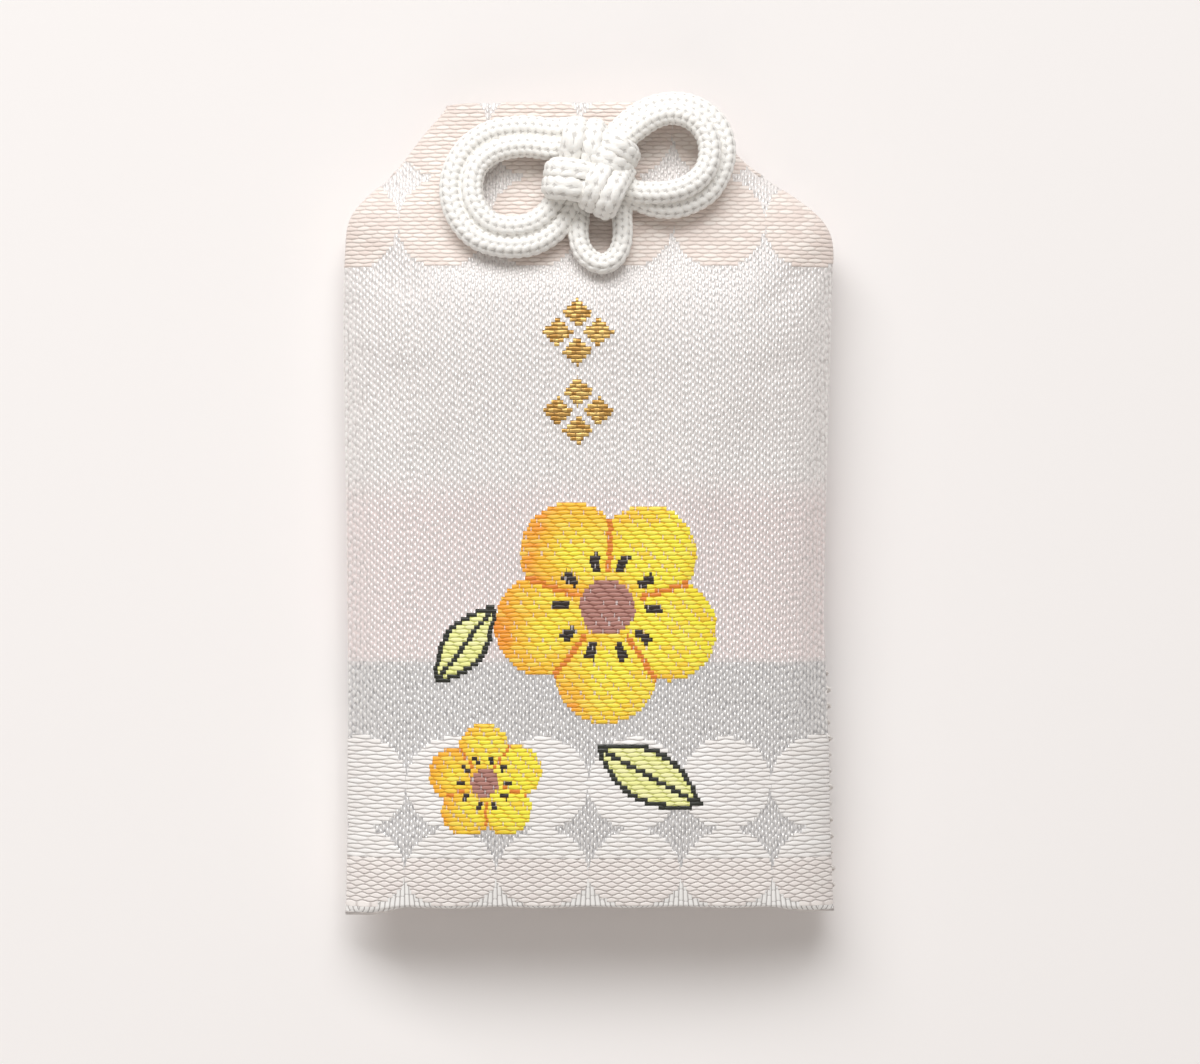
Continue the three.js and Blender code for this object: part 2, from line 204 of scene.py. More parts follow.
def mix_node(tree, data_type, share, first, second):
    node = tree.nodes.new("ShaderNodeMix")
    node.data_type = data_type
    plug(tree, node.inputs["Factor"], share)
    plug(tree, node.inputs["A"], first)
    plug(tree, node.inputs["B"], second)
    return Wire(tree, node.outputs["Result"])


def mixed(tree, share, first, second):
    return mix_node(tree, "RGBA", share, first, second)


def blended(tree, share, first, second):
    return mix_node(tree, "FLOAT", share, first, second)


def triple(tree, x, y, z=0.0):
    node = tree.nodes.new("ShaderNodeCombineXYZ")
    for place, value in zip(node.inputs, (x, y, z)):
        plug(tree, place, value)
    return Wire(tree, node.outputs[0])


def cloudy(tree, place, scale, detail=2.0):
    node = tree.nodes.new("ShaderNodeTexNoise")
    plug(tree, node.inputs["Scale"], scale)
    plug(tree, node.inputs["Detail"], detail)
    plug(tree, node.inputs["Vector"], place)
    return Wire(tree, node.outputs["Fac"])


def speckle(tree, across, along):
    node = tree.nodes.new("ShaderNodeTexWhiteNoise")
    node.noise_dimensions = "2D"
    plug(tree, node.inputs["Vector"], triple(tree, across, along))
    return Wire(tree, node.outputs["Value"])


def object_place(tree):
    node = tree.nodes.new("ShaderNodeTexCoord")
    return Wire(tree, node.outputs["Object"])


def stretched(tree, place, scale, turn):
    node = tree.nodes.new("ShaderNodeMapping")
    node.inputs["Rotation"].default_value = (0.0, 0.0, turn)
    node.inputs["Scale"].default_value = scale
    plug(tree, node.inputs["Vector"], place)
    return Wire(tree, node.outputs[0])


def attribute_value(tree, name):
    node = tree.nodes.new("ShaderNodeAttribute")
    node.attribute_name = name
    return Wire(tree, node.outputs["Fac"])


# Sockets of the shared groups are plain values, apart from these.
SOCKET_KINDS = {
    "Place": "NodeSocketVector",
    "First Tone": "NodeSocketColor",
    "Second Tone": "NodeSocketColor",
    "Colour": "NodeSocketColor",
}


def group(name, inputs, outputs, wiring):
    tree = bpy.data.node_groups.new(name, "ShaderNodeTree")
    for in_out, labels in (("INPUT", inputs), ("OUTPUT", outputs)):
        for label in labels:
            kind = SOCKET_KINDS.get(label, "NodeSocketFloat")
            tree.interface.new_socket(label, in_out=in_out, socket_type=kind)
    entry = tree.nodes.new("NodeGroupInput")
    leave = tree.nodes.new("NodeGroupOutput")
    given = [Wire(tree, entry.outputs[label]) for label in inputs]
    for label, value in zip(outputs, wiring(tree, *given)):
        plug(tree, leave.inputs[label], value)
    return tree


def placed(tree, shared, *values):
    node = tree.nodes.new("ShaderNodeGroup")
    node.node_tree = shared
    for place, value in zip(node.inputs, values):
        plug(tree, place, value)
    return [Wire(tree, socket) for socket in node.outputs]


def finish_of(name, roughness):
    material = bpy.data.materials.new(name)
    material.use_nodes = True
    shader = material.node_tree.nodes["Principled BSDF"]
    shader.inputs["Roughness"].default_value = roughness
    return material, material.node_tree, shader


def bumped(tree, shader, height, distance):
    node = tree.nodes.new("ShaderNodeBump")
    node.inputs["Distance"].default_value = distance
    plug(tree, node.inputs["Height"], height)
    tree.links.new(node.outputs["Normal"], shader.inputs["Normal"])


# Fibres of two tones, as in the cord, thread, interfacing, wadding, board, paper and wood.
def wire_fibre(tree, place, scale, detail, low, high, first_tone, second_tone):
    fibre = cloudy(tree, place, scale, detail)
    return mixed(tree, fibre.ramp(low, high), first_tone, second_tone), fibre


two_tone_fibre = group(
    "two-tone fibre",
    ["Place", "Scale", "Detail", "Low", "High", "First Tone", "Second Tone"],
    ["Colour", "Height"],
    wire_fibre,
)


# The scale and the detail are the noise's own. The tones are its low and high limit and the tone at each.
def fibre_finish(name, roughness, scale, detail, tones, bump, stretch=None, turn=0.0):
    material, tree, shader = finish_of(name, roughness)
    place = object_place(tree)
    if stretch:
        place = stretched(tree, place, stretch, turn)
    colour, height = placed(tree, two_tone_fibre, place, scale, detail, *tones)
    tree.links.new(colour.socket, shader.inputs["Base Color"])
    bumped(tree, shader, height, bump)
    return material, tree, shader, colour


# Forms of the pouch. Across it, u runs from -1 at the left seam to 1 at the right one.
def smoothstep(value, low, high):
    share = np.clip((value - low) / (high - low), 0, 1)
    return share * share * (3 - 2 * share)


def edge_x(points, y):
    ys, xs = zip(*points)
    reach = np.linspace(-CORNER_SOFTNESS, CORNER_SOFTNESS, CORNER_PLACES)
    return np.mean([np.interp(y + step, ys, xs) for step in reach], axis=0)


def along_length(y, rounding, foot_share, taper):
    up = np.clip((y - Y_FOLD) / rounding, 0, 1)
    rise = foot_share + (1 - foot_share) * (1 - (1 - up) ** 2)
    fall = smoothstep(Y_MOUTH - y, 0, taper)
    return rise * (MOUTH_SHARE + (1 - MOUTH_SHARE) * fall)


def across_front(u):
    return np.maximum(0, 1 - np.abs(u) ** FRONT_FULLNESS) ** FRONT_EDGE


def across_back(u):
    past = np.maximum(0, (np.abs(u) - BACK_FLAT_SHARE) / (1 - BACK_FLAT_SHARE))
    return np.sqrt(np.maximum(0, 1 - past**2))


def front_height(u, y):
    fill = along_length(y, BOTTOM_ROUND, BOTTOM_SHARE, FRONT_TAPER)
    crown = RIM_RISE + (FRONT_CROWN - RIM_RISE) * fill
    return SEAM_HEIGHT + across_front(u) * crown


def back_height(u, y):
    fill = along_length(y, BACK_BOTTOM_ROUND, BACK_BOTTOM_SHARE, BACK_TAPER)
    depth = RIM_RISE + (SEAM_HEIGHT - RIM_RISE) * fill
    return SEAM_HEIGHT - across_back(u) * depth


def across_x(u, y):
    left = edge_x(LEFT_EDGE, y)
    right = edge_x(RIGHT_EDGE, y)
    return left + (right - left) * (u + 1) / 2


def share_across(x, y):
    left = edge_x(LEFT_EDGE, y)
    right = edge_x(RIGHT_EDGE, y)
    return np.clip(2 * (x - left) / (right - left) - 1, -1, 1)


# Meshes from grids of points.
def new_object(name, points, faces):
    mesh = bpy.data.meshes.new(name)
    mesh.from_pydata((np.asarray(points) * MM).tolist(), [], faces)
    piece = bpy.data.objects.new(name, mesh)
    bpy.context.collection.objects.link(piece)
    return piece


def grid_faces(rows, columns, closed=False):
    faces = []
    last = columns if closed else columns - 1
    for i in range(rows - 1):
        here = i * columns
        beyond = here + columns
        for j in range(last):
            after = (j + 1) % columns
            faces.append((here + j, beyond + j, beyond + after, here + after))
    return faces


# A tube with both ends closed, its points given ring by ring from the one numbered start.
def tube_faces(rings, points_round, start=0):
    faces = [face[::-1] for face in grid_faces(rings, points_round, closed=True)]
    faces.append(tuple(range(points_round))[::-1])
    faces.append(tuple(range((rings - 1) * points_round, rings * points_round)))
    return [tuple(start + corner for corner in face) for face in faces]


def vertex_values(mesh, name):
    values = np.empty(len(mesh.vertices) * 3)
    mesh.vertices.foreach_get(name, values)
    return values.reshape(-1, 3)


def loop_vertices(mesh):
    corners = np.empty(len(mesh.loops), dtype=np.int32)
    mesh.loops.foreach_get("vertex_index", corners)
    return corners


def with_uv(piece, uv):
    layer = piece.data.uv_layers.new(name="weave")
    corners = loop_vertices(piece.data)
    layer.data.foreach_set("uv", np.asarray(uv, dtype=np.float32)[corners].ravel())


def merged(piece, distance):
    work = bmesh.new()
    work.from_mesh(piece.data)
    bmesh.ops.remove_doubles(work, verts=work.verts, dist=distance)
    work.to_mesh(piece.data)
    work.free()


def smooth(piece):
    piece.data.polygons.foreach_set("use_smooth", [True] * len(piece.data.polygons))


def apply_modifier(piece, kind, **settings):
    bpy.ops.object.select_all(action="DESELECT")
    piece.select_set(True)
    bpy.context.view_layer.objects.active = piece
    modifier = piece.modifiers.new(kind, kind)
    for key, value in settings.items():
        setattr(modifier, key, value)
    bpy.ops.object.modifier_apply(modifier=modifier.name)


# The weave. On the strip of cloth x runs across and s along it: s is y on the front, down to the lower row
# of circles, and goes on from there by the cloth's own length. PICK is the pitch of the rows of thread.
PICK = 0.374
UV_WIDTH = 60.0
UV_LENGTH = 180.0
UV_FOOT = -130.0

# Satin ground: silver floats along the strip, each of which shows as a small dot of paler thread that is
# painted brighter still as a highlight. The silver gives way to a pink band and then to a grey one, along
# frayed lines.
SATIN_PITCH = 0.31
SATIN_FLOAT = 0.66
SATIN_STEP = 0.42
SATIN_STRAY = 0.3
SATIN_SIDE_STRAY = 0.36
DOT_HALF_WIDTH = 0.105
DOT_HALF_LENGTH = 0.26
DOT_EDGE = (1.35, 0.8)
DOT_LEAST = 0.7
FLECK_EDGE = (1.15, 0.7)
FLECK_LEAST = 0.65
DOME_FALL = 0.6
DOME_SHORTER = 1.6
DOME_HEIGHT = 0.85
STREAK_SCALE = (5.0, 2.2)
STREAK_EDGE = (0.3, 0.6)
STREAK_HEIGHT = 0.2
PINK_BAND_TOP = 1.6
PINK_FADE = 2.2
GREY_BAND_TOP = -14.1
GREY_FADE = 0.5
BAND_FRAY = 1.2
BAND_FRAY_SCALE = (0.35, 0.9)

# Rows of touching circles in weft, at the bottom and at the mouth.
CIRCLE_PITCH = 8.44
CIRCLE_RADIUS = 4.22
CIRCLE_X = -4.34
LOWER_ROW_Y = -25.28
LAST_ROW_Y = -33.72
LAST_ROW_PRESS = 1.4
LOWER_ZONE_TOP = -21.06
LONG_FLOAT_FOOT = -32.0
UPPER_ROW_Y = 26.1
UPPER_SHIFT = 0.7
UPPER_ZONE_FOOT = 21.88
FLOAT_END_SPREAD = 0.26

# Rows of thread sway a little.
SWAY_SCALE = (0.7, 0.45)

# Weft floats like bricks: their length, how far they bulge, and how dark the painted shade in the gaps at
# their ends is.
LONG_BRICKS = (1.8, 0.045, 0.25)
LOW_BRICKS = (1.3, 0.085, 0.45)
HIGH_BRICKS = (1.3, 0.03, 0.5)
BRICK_SWAY = 0.16
BRICK_SLIDE = 0.7
SLIDE_SCALE = (0.25, 0.8)

# Weft floats of the ornaments: their length, and the shift from row to row.
TWILL = (1.25, 0.29)
TWILL_SWAY = 0.22

# Spikes of warp that fan out along the bottom fold, and the line of edging beside it.
FRINGE_PITCH = 0.34
FRINGE_FAN = 0.1
FRINGE_TIE = 1.1
FRINGE_HEIGHT = 0.3
FRINGE_TOP = -33.9
FRINGE_LINE = (-36.55, -37.0)

# Places in the noise that keep one use of it apart from another. In the weave, luck is a random value of each
# float, crest is its height, and out is 0 at its middle and 1 at its ends.
FRAY_SEED = 11.0
STRAY_SEED = 5.0
ASIDE_SEED = 17.3
FRINGE_SEED = 3.0
SLIDE_SEED = 7.0


def wire_thread_grid(tree, x, s):
    row = (s / PICK).floor()
    stepped_s = (row + 0.5) * PICK
    frayed_x = x + (speckle(tree, row, FRAY_SEED) - 0.5) * FLOAT_END_SPREAD
    return row, frayed_x, stepped_s


def wire_satin(tree, x, s):
    column = (x / SATIN_PITCH).floor()
    stray = speckle(tree, column, STRAY_SEED) * SATIN_STRAY
    along = s / SATIN_FLOAT + column * SATIN_STEP + stray
    luck = speckle(tree, column, along.floor())
    aside = (speckle(tree, column + ASIDE_SEED, along.floor()) - 0.5) * SATIN_SIDE_STRAY
    across = ((x / SATIN_PITCH).part() - 0.5 + aside) * (SATIN_PITCH / DOT_HALF_WIDTH)
    up = (along.part() - 0.5) * (SATIN_FLOAT / DOT_HALF_LENGTH)
    reach = (across * across + up * up).power(0.5)
    dot = reach.ramp(*DOT_EDGE) * (luck * (1 - DOT_LEAST) + DOT_LEAST)
    fleck = reach.ramp(*FLECK_EDGE) * (luck * (1 - FLECK_LEAST) + FLECK_LEAST)
    dome = (1.0 - (across * across + up * up * DOME_SHORTER) * DOME_FALL).clip()
    streak = cloudy(tree, triple(tree, x * STREAK_SCALE[0], s * STREAK_SCALE[1]), 1.0)
    return dot, fleck, dome, streak


def swayed_rows(tree, x, s, sway):
    cloud = cloudy(tree, triple(tree, x * SWAY_SCALE[0], s * SWAY_SCALE[1]), 1.0)
    return s + (cloud - 0.5) * sway


# Floats of weft that narrow towards their ends, each row shifted from the one below.
def wire_weft(tree, x, s, length, shift):
    swayed = swayed_rows(tree, x, s, TWILL_SWAY)
    row = (swayed / PICK).floor()
    up = (swayed / PICK).from_middle()
    along = x / length + row * shift
    out = along.from_middle()
    half = 1.05 - out.power(3.0) * 0.75
    crest = (1.0 - (up / half).power(2.6)).clip()
    luck = speckle(tree, along.floor(), row)
    return crest, out, luck


# Floats of weft laid like bricks, which swell at the middle, with lines of painted shade between them.
def wire_bricks(tree, x, s, length, bulge, ends):
    swayed = swayed_rows(tree, x, s, BRICK_SWAY)
    slide = cloudy(tree, triple(tree, x * SLIDE_SCALE[0], s * SLIDE_SCALE[1], SLIDE_SEED), 1.0)
    slid = x / length + (slide - 0.5) * BRICK_SLIDE
    swell = (slid * (2 * math.pi)).apply("COSINE") * (swayed * (math.pi / PICK)).apply("COSINE")
    lens = (swayed + swell * bulge) / PICK
    row = lens.floor()
    up = lens.from_middle()
    along = slid + row * 0.5 + 0.5
    out = along.from_middle()
    crest = (1.0 - up.power(2.4)) * (1.0 - out.power(4.0) * 0.7)
    # Painted shade in the gaps between rows of floats and at the floats' ends.
    row_gap_shade = up.ramp(0.5, 1.0) * (out.ramp(0.2, 0.95) * 0.75 + 0.25)
    line = row_gap_shade.most(out.ramp(0.7, 1.0) * ends)
    luck = speckle(tree, along.floor(), row)
    return crest, line, luck


def wire_fringe(tree, x, s):
    beside = (((x - CIRCLE_X) / CIRCLE_PITCH).part() - 0.5) * CIRCLE_PITCH
    fanned = (x - beside * ((FRINGE_TOP - s).most(0.0) * FRINGE_FAN)) / FRINGE_PITCH
    luck = speckle(tree, fanned.floor(), FRINGE_SEED)
    tie = (s / FRINGE_TIE + luck).from_middle()
    return ((1.0 - fanned.from_middle().power(2.0)) * (1.0 - tie.power(8.0) * 0.7),)


def wire_circles(tree, x, s, row_y):
    across = (((x - CIRCLE_X) / CIRCLE_PITCH + 0.5).part() - 0.5) * CIRCLE_PITCH
    pressed = (LAST_ROW_Y - s).most(0.0) * (LAST_ROW_PRESS - 1.0)
    up = (((s - pressed - row_y) / CIRCLE_PITCH + 0.5).part() - 0.5) * CIRCLE_PITCH
    reach = (across * across + up * up).power(0.5)
    return (reach.below(CIRCLE_RADIUS),)


# A blossom's form, as shares of its radius. Its five petals are discs round the middle.
PETAL_SECTOR = 2 * math.pi / 5
PETAL_MIDDLE = 0.56
PETAL_RADIUS = 0.44
BLOSSOM_EYE = 0.4
PARTING_HALF_WIDTH = 0.024
PARTING_START = 0.3
CORE_RADIUS = 0.24
STAMEN_MIDDLE = 0.4
STAMEN_HALF_LENGTH = 0.075
STAMEN_ANGLE = 0.3
STAMEN_HALF_ANGLE = 0.1

# The dark lines of a leaf, and the half width of the lines that divide a lozenge, as a share of it.
LEAF_OUTLINE = 0.5
LEAF_RIB = 0.22
LOZENGE_DIVISION = 0.13


def wire_blossom(tree, x, s, centre_x, centre_s, radius, turn):
    across = (x - centre_x) / radius
    up = (s - centre_s) / radius
    reach = (across * across + up * up).power(0.5)
    angle = up.apply("ARCTAN2", across) + turn
    petal = (angle / PETAL_SECTOR + 0.5).floor()
    turned = angle - petal * PETAL_SECTOR
    out = reach * turned.apply("COSINE") - PETAL_MIDDLE
    aside = reach * turned.apply("SINE")
    rim = (out * out + aside * aside).power(0.5) / PETAL_RADIUS
    inside = rim.below(1.0).most(reach.below(BLOSSOM_EYE))
    parting = (PETAL_SECTOR / 2 - abs(turned)) * reach
    return inside, reach, rim, parting, petal


def wire_leaf(tree, x, s, centre_x, centre_s, length, width, cosine, sine):
    across = x - centre_x
    up = s - centre_s
    along = (across * cosine + up * sine) / length
    aside = abs(up * cosine - across * sine)
    room = (1.0 - along * along) * width - aside
    return room.above(0.0), room, aside


def wire_lozenge(tree, x, s, centre_x, centre_s, half_width, half_height):
    across = (x - centre_x) / half_width
    up = (s - centre_s) / half_height
    one = abs(across + up)
    other = abs(across - up)
    inside = one.most(other).below(1.0)
    divided = one.least(other).above(LOZENGE_DIVISION)
    return (inside * divided,)


thread_grid = group("thread grid", ["X", "S"], ["Row", "Frayed X", "Stepped S"], wire_thread_grid)
satin_floats = group("satin floats", ["X", "S"], ["Dot", "Fleck", "Dome", "Streak"], wire_satin)
weft_floats = group("weft floats", ["X", "S", "Length", "Shift"], ["Crest", "Out", "Luck"], wire_weft)
brick_floats = group(
    "brick floats",
    ["X", "S", "Length", "Bulge", "End Shade"],
    ["Crest", "Line", "Luck"],
    wire_bricks,
)
fold_fringe = group("fold fringe", ["X", "S"], ["Crest"], wire_fringe)
tangent_circles = group("tangent circles", ["X", "S", "Row"], ["Inside"], wire_circles)
blossom_motif = group(
    "blossom motif",
    ["X", "S", "Centre X", "Centre S", "Radius", "Turn"],
    ["Inside", "Reach", "Rim", "Parting", "Petal"],
    wire_blossom,
)
leaf_motif = group(
    "leaf motif",
    ["X", "S", "Centre X", "Centre S", "Length", "Width", "Cosine", "Sine"],
    ["Inside", "Room", "Aside"],
    wire_leaf,
)
lozenge_motif = group(
    "lozenge motif",
    ["X", "S", "Centre X", "Centre S", "Half Width", "Half Height"],
    ["Inside"],
    wire_lozenge,
)

# Woven ornaments on the front: blossoms with leaves, and two divided lozenges in gold above them. Each is
# given by its middle. A blossom's radius and turn follow, or a leaf's half length, half width and turn.
BLOSSOMS = [(1.6, -9.2, 10.6, 0.35), (-9.6, -25.2, 5.4, 0.9)]
LEAVES = [(5.4, -24.6, 5.6, 2.5, -0.5), (-11.6, -12.6, 4.6, 2.1, 0.9)]
LOZENGES = [(-1.1, 15.9), (-1.1, 8.7)]
LOZENGE_HALF = (3.3, 3.1)

# Threads of the brocade. Each hollow colour is painted shade in the gaps between floats.
SILVER_GROUND = shade(247, 241, 239)
SILVER_SHADOW = shade(202, 196, 194)
SILVER_DOT_HIGHLIGHT = shade(255, 253, 251)
PINK_GROUND = shade(243, 228, 226)
PINK_DOT_HIGHLIGHT = shade(255, 247, 246)
GREY_GROUND = shade(219, 217, 217)
GREY_SHADOW = shade(164, 162, 163)
LOW_WEFT = (shade(247, 239, 235), shade(254, 248, 244))
LOW_HOLLOW_SHADE = shade(172, 160, 156)
LONG_WEFT = (shade(250, 246, 243), shade(255, 253, 251))
LONG_HOLLOW_SHADE = shade(180, 172, 169)
HIGH_WEFT = (shade(242, 227, 219), shade(254, 245, 238))
HIGH_HOLLOW_SHADE = shade(212, 192, 182)
FRINGE_HOLLOW_SHADE = shade(186, 182, 180)
FRINGE_THREAD = shade(255, 254, 252)
PETAL_YELLOW = shade(255, 245, 64)
PETAL_AMBER = shade(255, 188, 46)
PETAL_RED = shade(246, 100, 46)
PETAL_BRIGHT = shade(255, 244, 110)
PETAL_DEEP = shade(253, 184, 44)
PETAL_PARTING = shade(232, 134, 40)
PETAL_HOLLOW_SHADE = shade(232, 142, 8)
CORE = shade(182, 128, 116)
CORE_HOLLOW_SHADE = shade(146, 94, 84)
STAMEN = shade(52, 40, 34)
STAMEN_HOLLOW_SHADE = shade(38, 28, 24)
LEAF = (shade(246, 247, 156), shade(252, 250, 186))
LEAF_HOLLOW_SHADE = shade(204, 206, 112)
LEAF_LINE = shade(40, 42, 34)
GOLD = (shade(172, 124, 52), shade(232, 196, 118))
GOLD_HOLLOW_SHADE = shade(120, 84, 40)

SATIN_ROUGHNESS = 0.37
WEFT_ROUGHNESS = 0.5
GOLD_METAL = 0.45
SILVER_METAL = 0.42
ORNAMENT_HEIGHT = 0.8
# Crest heights over which the painted shade in the hollows between ornament floats fades out.
FLOAT_SHADE_EDGE = (0.0, 0.4)
GOLD_STRIP = 0.42
WEAVE_DEPTH = 0.00009

# Petals turn from yellow to amber and red towards their rims and to the left, in clouds. Here and there the
# satin shows through at the end of a float.
PETAL_CLOUD = 0.16
RIM_WARMTH = 0.55
CLOUD_WARMTH = 0.9
SIDE_WARMTH = 0.35
AMBER_EDGE = (0.55, 1.25)
RED_EDGE = (1.1, 1.3)
PEEP_OUT = 0.84
PEEP_LUCK = 0.3
PEEP_SHARE = 0.6


def weave_place(tree):
    uv = tree.nodes.new("ShaderNodeUVMap")
    uv.uv_map = "weave"
    split = tree.nodes.new("ShaderNodeSeparateXYZ")
    tree.links.new(uv.outputs["UV"], split.inputs[0])
    x = (Wire(tree, split.outputs["X"]) - 0.5) * UV_WIDTH
    strip = Wire(tree, split.outputs["Y"]) * UV_LENGTH + UV_FOOT
    return x, strip


def satin_tones(tree, x, s, step_s):
    dot, fleck, dome, streak = placed(tree, satin_floats, x, s)
    cloud = cloudy(tree, triple(tree, x * BAND_FRAY_SCALE[0], s * BAND_FRAY_SCALE[1]), 1.0)
    fray = (cloud - 0.5) * BAND_FRAY
    pink = (step_s + fray).ramp(PINK_BAND_TOP + PINK_FADE, PINK_BAND_TOP - PINK_FADE)
    grey = (step_s + fray * 0.5).ramp(GREY_BAND_TOP + GREY_FADE, GREY_BAND_TOP - GREY_FADE)
    ground = mixed(tree, pink, SILVER_GROUND, PINK_GROUND)
    ground = mixed(tree, grey, ground, GREY_GROUND)
    shadow = mixed(tree, grey, SILVER_SHADOW, GREY_SHADOW)
    satin = mixed(tree, streak.ramp(*STREAK_EDGE), shadow, ground)
    # The dots are paler thread with a painted highlight on top.
    dot_highlight = mixed(tree, pink * (1.0 - grey), SILVER_DOT_HIGHLIGHT, PINK_DOT_HIGHLIGHT)
    dot = blended(tree, grey, dot, fleck)
    height = dome * DOME_HEIGHT + streak * STREAK_HEIGHT
    return mixed(tree, dot, satin, dot_highlight), dot, height


def weft_tones(tree, x, s, step_s):
    crest_long, shade_long, luck_long = placed(tree, brick_floats, x, s, *LONG_BRICKS)
    crest_low, shade_low, luck_low = placed(tree, brick_floats, x, s, *LOW_BRICKS)
    crest_high, shade_high, luck_high = placed(tree, brick_floats, x, s, *HIGH_BRICKS)
    # Each weft is darkened with painted shade in the gaps between its floats; in the pink weft the painted
    # shade is fainter.
    low_weft = mixed(tree, shade_low, mixed(tree, luck_low, *LOW_WEFT), LOW_HOLLOW_SHADE)
    long_weft = mixed(tree, shade_long, mixed(tree, luck_long, *LONG_WEFT), LONG_HOLLOW_SHADE)
    faint_shade = shade_high * (luck_high * 0.6 + 0.3)
    high_weft = mixed(tree, faint_shade, mixed(tree, luck_high, *HIGH_WEFT), HIGH_HOLLOW_SHADE)
    high = step_s.above(0.0)
    long_float = step_s.above(LONG_FLOAT_FOOT) * step_s.below(0.0)
    weft = mixed(tree, high, mixed(tree, long_float, low_weft, long_weft), high_weft)
    crest = blended(tree, high, blended(tree, long_float, crest_low, crest_long), crest_high)
    return weft, crest, crest_high


# 1 inside the weft circles, 0 on the ground between them.
def circle_mask(tree, s, frayed_x, step_s):
    (lower,) = placed(tree, tangent_circles, frayed_x, step_s, LOWER_ROW_Y)
    (upper,) = placed(tree, tangent_circles, frayed_x + UPPER_SHIFT, step_s, UPPER_ROW_Y)
    edging = s.below(FRINGE_LINE[0]) * s.above(FRINGE_LINE[1])
    lower = lower * step_s.below(LOWER_ZONE_TOP) * (1.0 - edging)
    upper = upper * step_s.above(UPPER_ZONE_FOOT)
    return lower.most(upper)


def blossom_tones(tree, frayed_x, step_s, blossom, twill, satin):
    crest, out, luck = twill
    centre_x, _, radius, _ = blossom
    inside, reach, rim, parting, petal = placed(tree, blossom_motif, frayed_x, step_s, *blossom)
    warm = cloudy(tree, triple(tree, frayed_x * PETAL_CLOUD, step_s * PETAL_CLOUD, petal), 1.0)
    rightward = (frayed_x - centre_x) * (SIDE_WARMTH / radius)
    flush = (rim * RIM_WARMTH + warm * CLOUD_WARMTH - rightward).ramp(*AMBER_EDGE)
    petals = mixed(tree, flush, PETAL_YELLOW, PETAL_AMBER)
    petals = mixed(tree, (flush + warm * 0.3).ramp(*RED_EDGE), petals, PETAL_RED)
    petals = mixed(tree, luck.ramp(0.55, 1.0) * 0.4, petals, PETAL_BRIGHT)
    petals = mixed(tree, luck.ramp(0.3, 0.0) * 0.5, petals, PETAL_DEEP)
    parted = parting.below(PARTING_HALF_WIDTH) * reach.above(PARTING_START)
    petals = mixed(tree, parted, petals, PETAL_PARTING)
    # Painted shade in the hollows between floats, over petals, core and stamens, shown where each float's
    # crest is low.
    shaded_floats = mixed(tree, 0.6, petals, PETAL_HOLLOW_SHADE)
    core = reach.below(CORE_RADIUS)
    petals = mixed(tree, core, petals, CORE)
    shaded_floats = mixed(tree, core, shaded_floats, CORE_HOLLOW_SHADE)
    at_stamen = abs(reach - STAMEN_MIDDLE).below(STAMEN_HALF_LENGTH)
    stamen = at_stamen * abs(parting / reach - STAMEN_ANGLE).below(STAMEN_HALF_ANGLE)
    petals = mixed(tree, stamen, petals, STAMEN)
    shaded_floats = mixed(tree, stamen, shaded_floats, STAMEN_HOLLOW_SHADE)
    petals = mixed(tree, crest.ramp(*FLOAT_SHADE_EDGE), shaded_floats, petals)
    peep = out.above(PEEP_OUT) * luck.below(PEEP_LUCK) * PEEP_SHARE
    return inside, mixed(tree, peep, petals, satin)


def leaf_tones(tree, frayed_x, step_s, leaf, twill):
    crest, _, luck = twill
    *form, turn = leaf
    lean = (math.cos(turn), math.sin(turn))
    inside, room, aside = placed(tree, leaf_motif, frayed_x, step_s, *form, *lean)
    blade = mixed(tree, luck, *LEAF)
    # Painted shade in the hollows between the leaf's floats.
    blade = mixed(tree, crest.ramp(*FLOAT_SHADE_EDGE), LEAF_HOLLOW_SHADE, blade)
    line = room.below(LEAF_OUTLINE).most(aside.below(LEAF_RIB))
    return inside, mixed(tree, line, blade, LEAF_LINE)


def gold_tones(tree, x, row, crest):
    gold = mixed(tree, speckle(tree, (x / GOLD_STRIP).floor(), row), *GOLD)
    # Painted shade in the hollows between the gold floats.
    return mixed(tree, crest.ramp(0.05, 0.5), GOLD_HOLLOW_SHADE, gold)


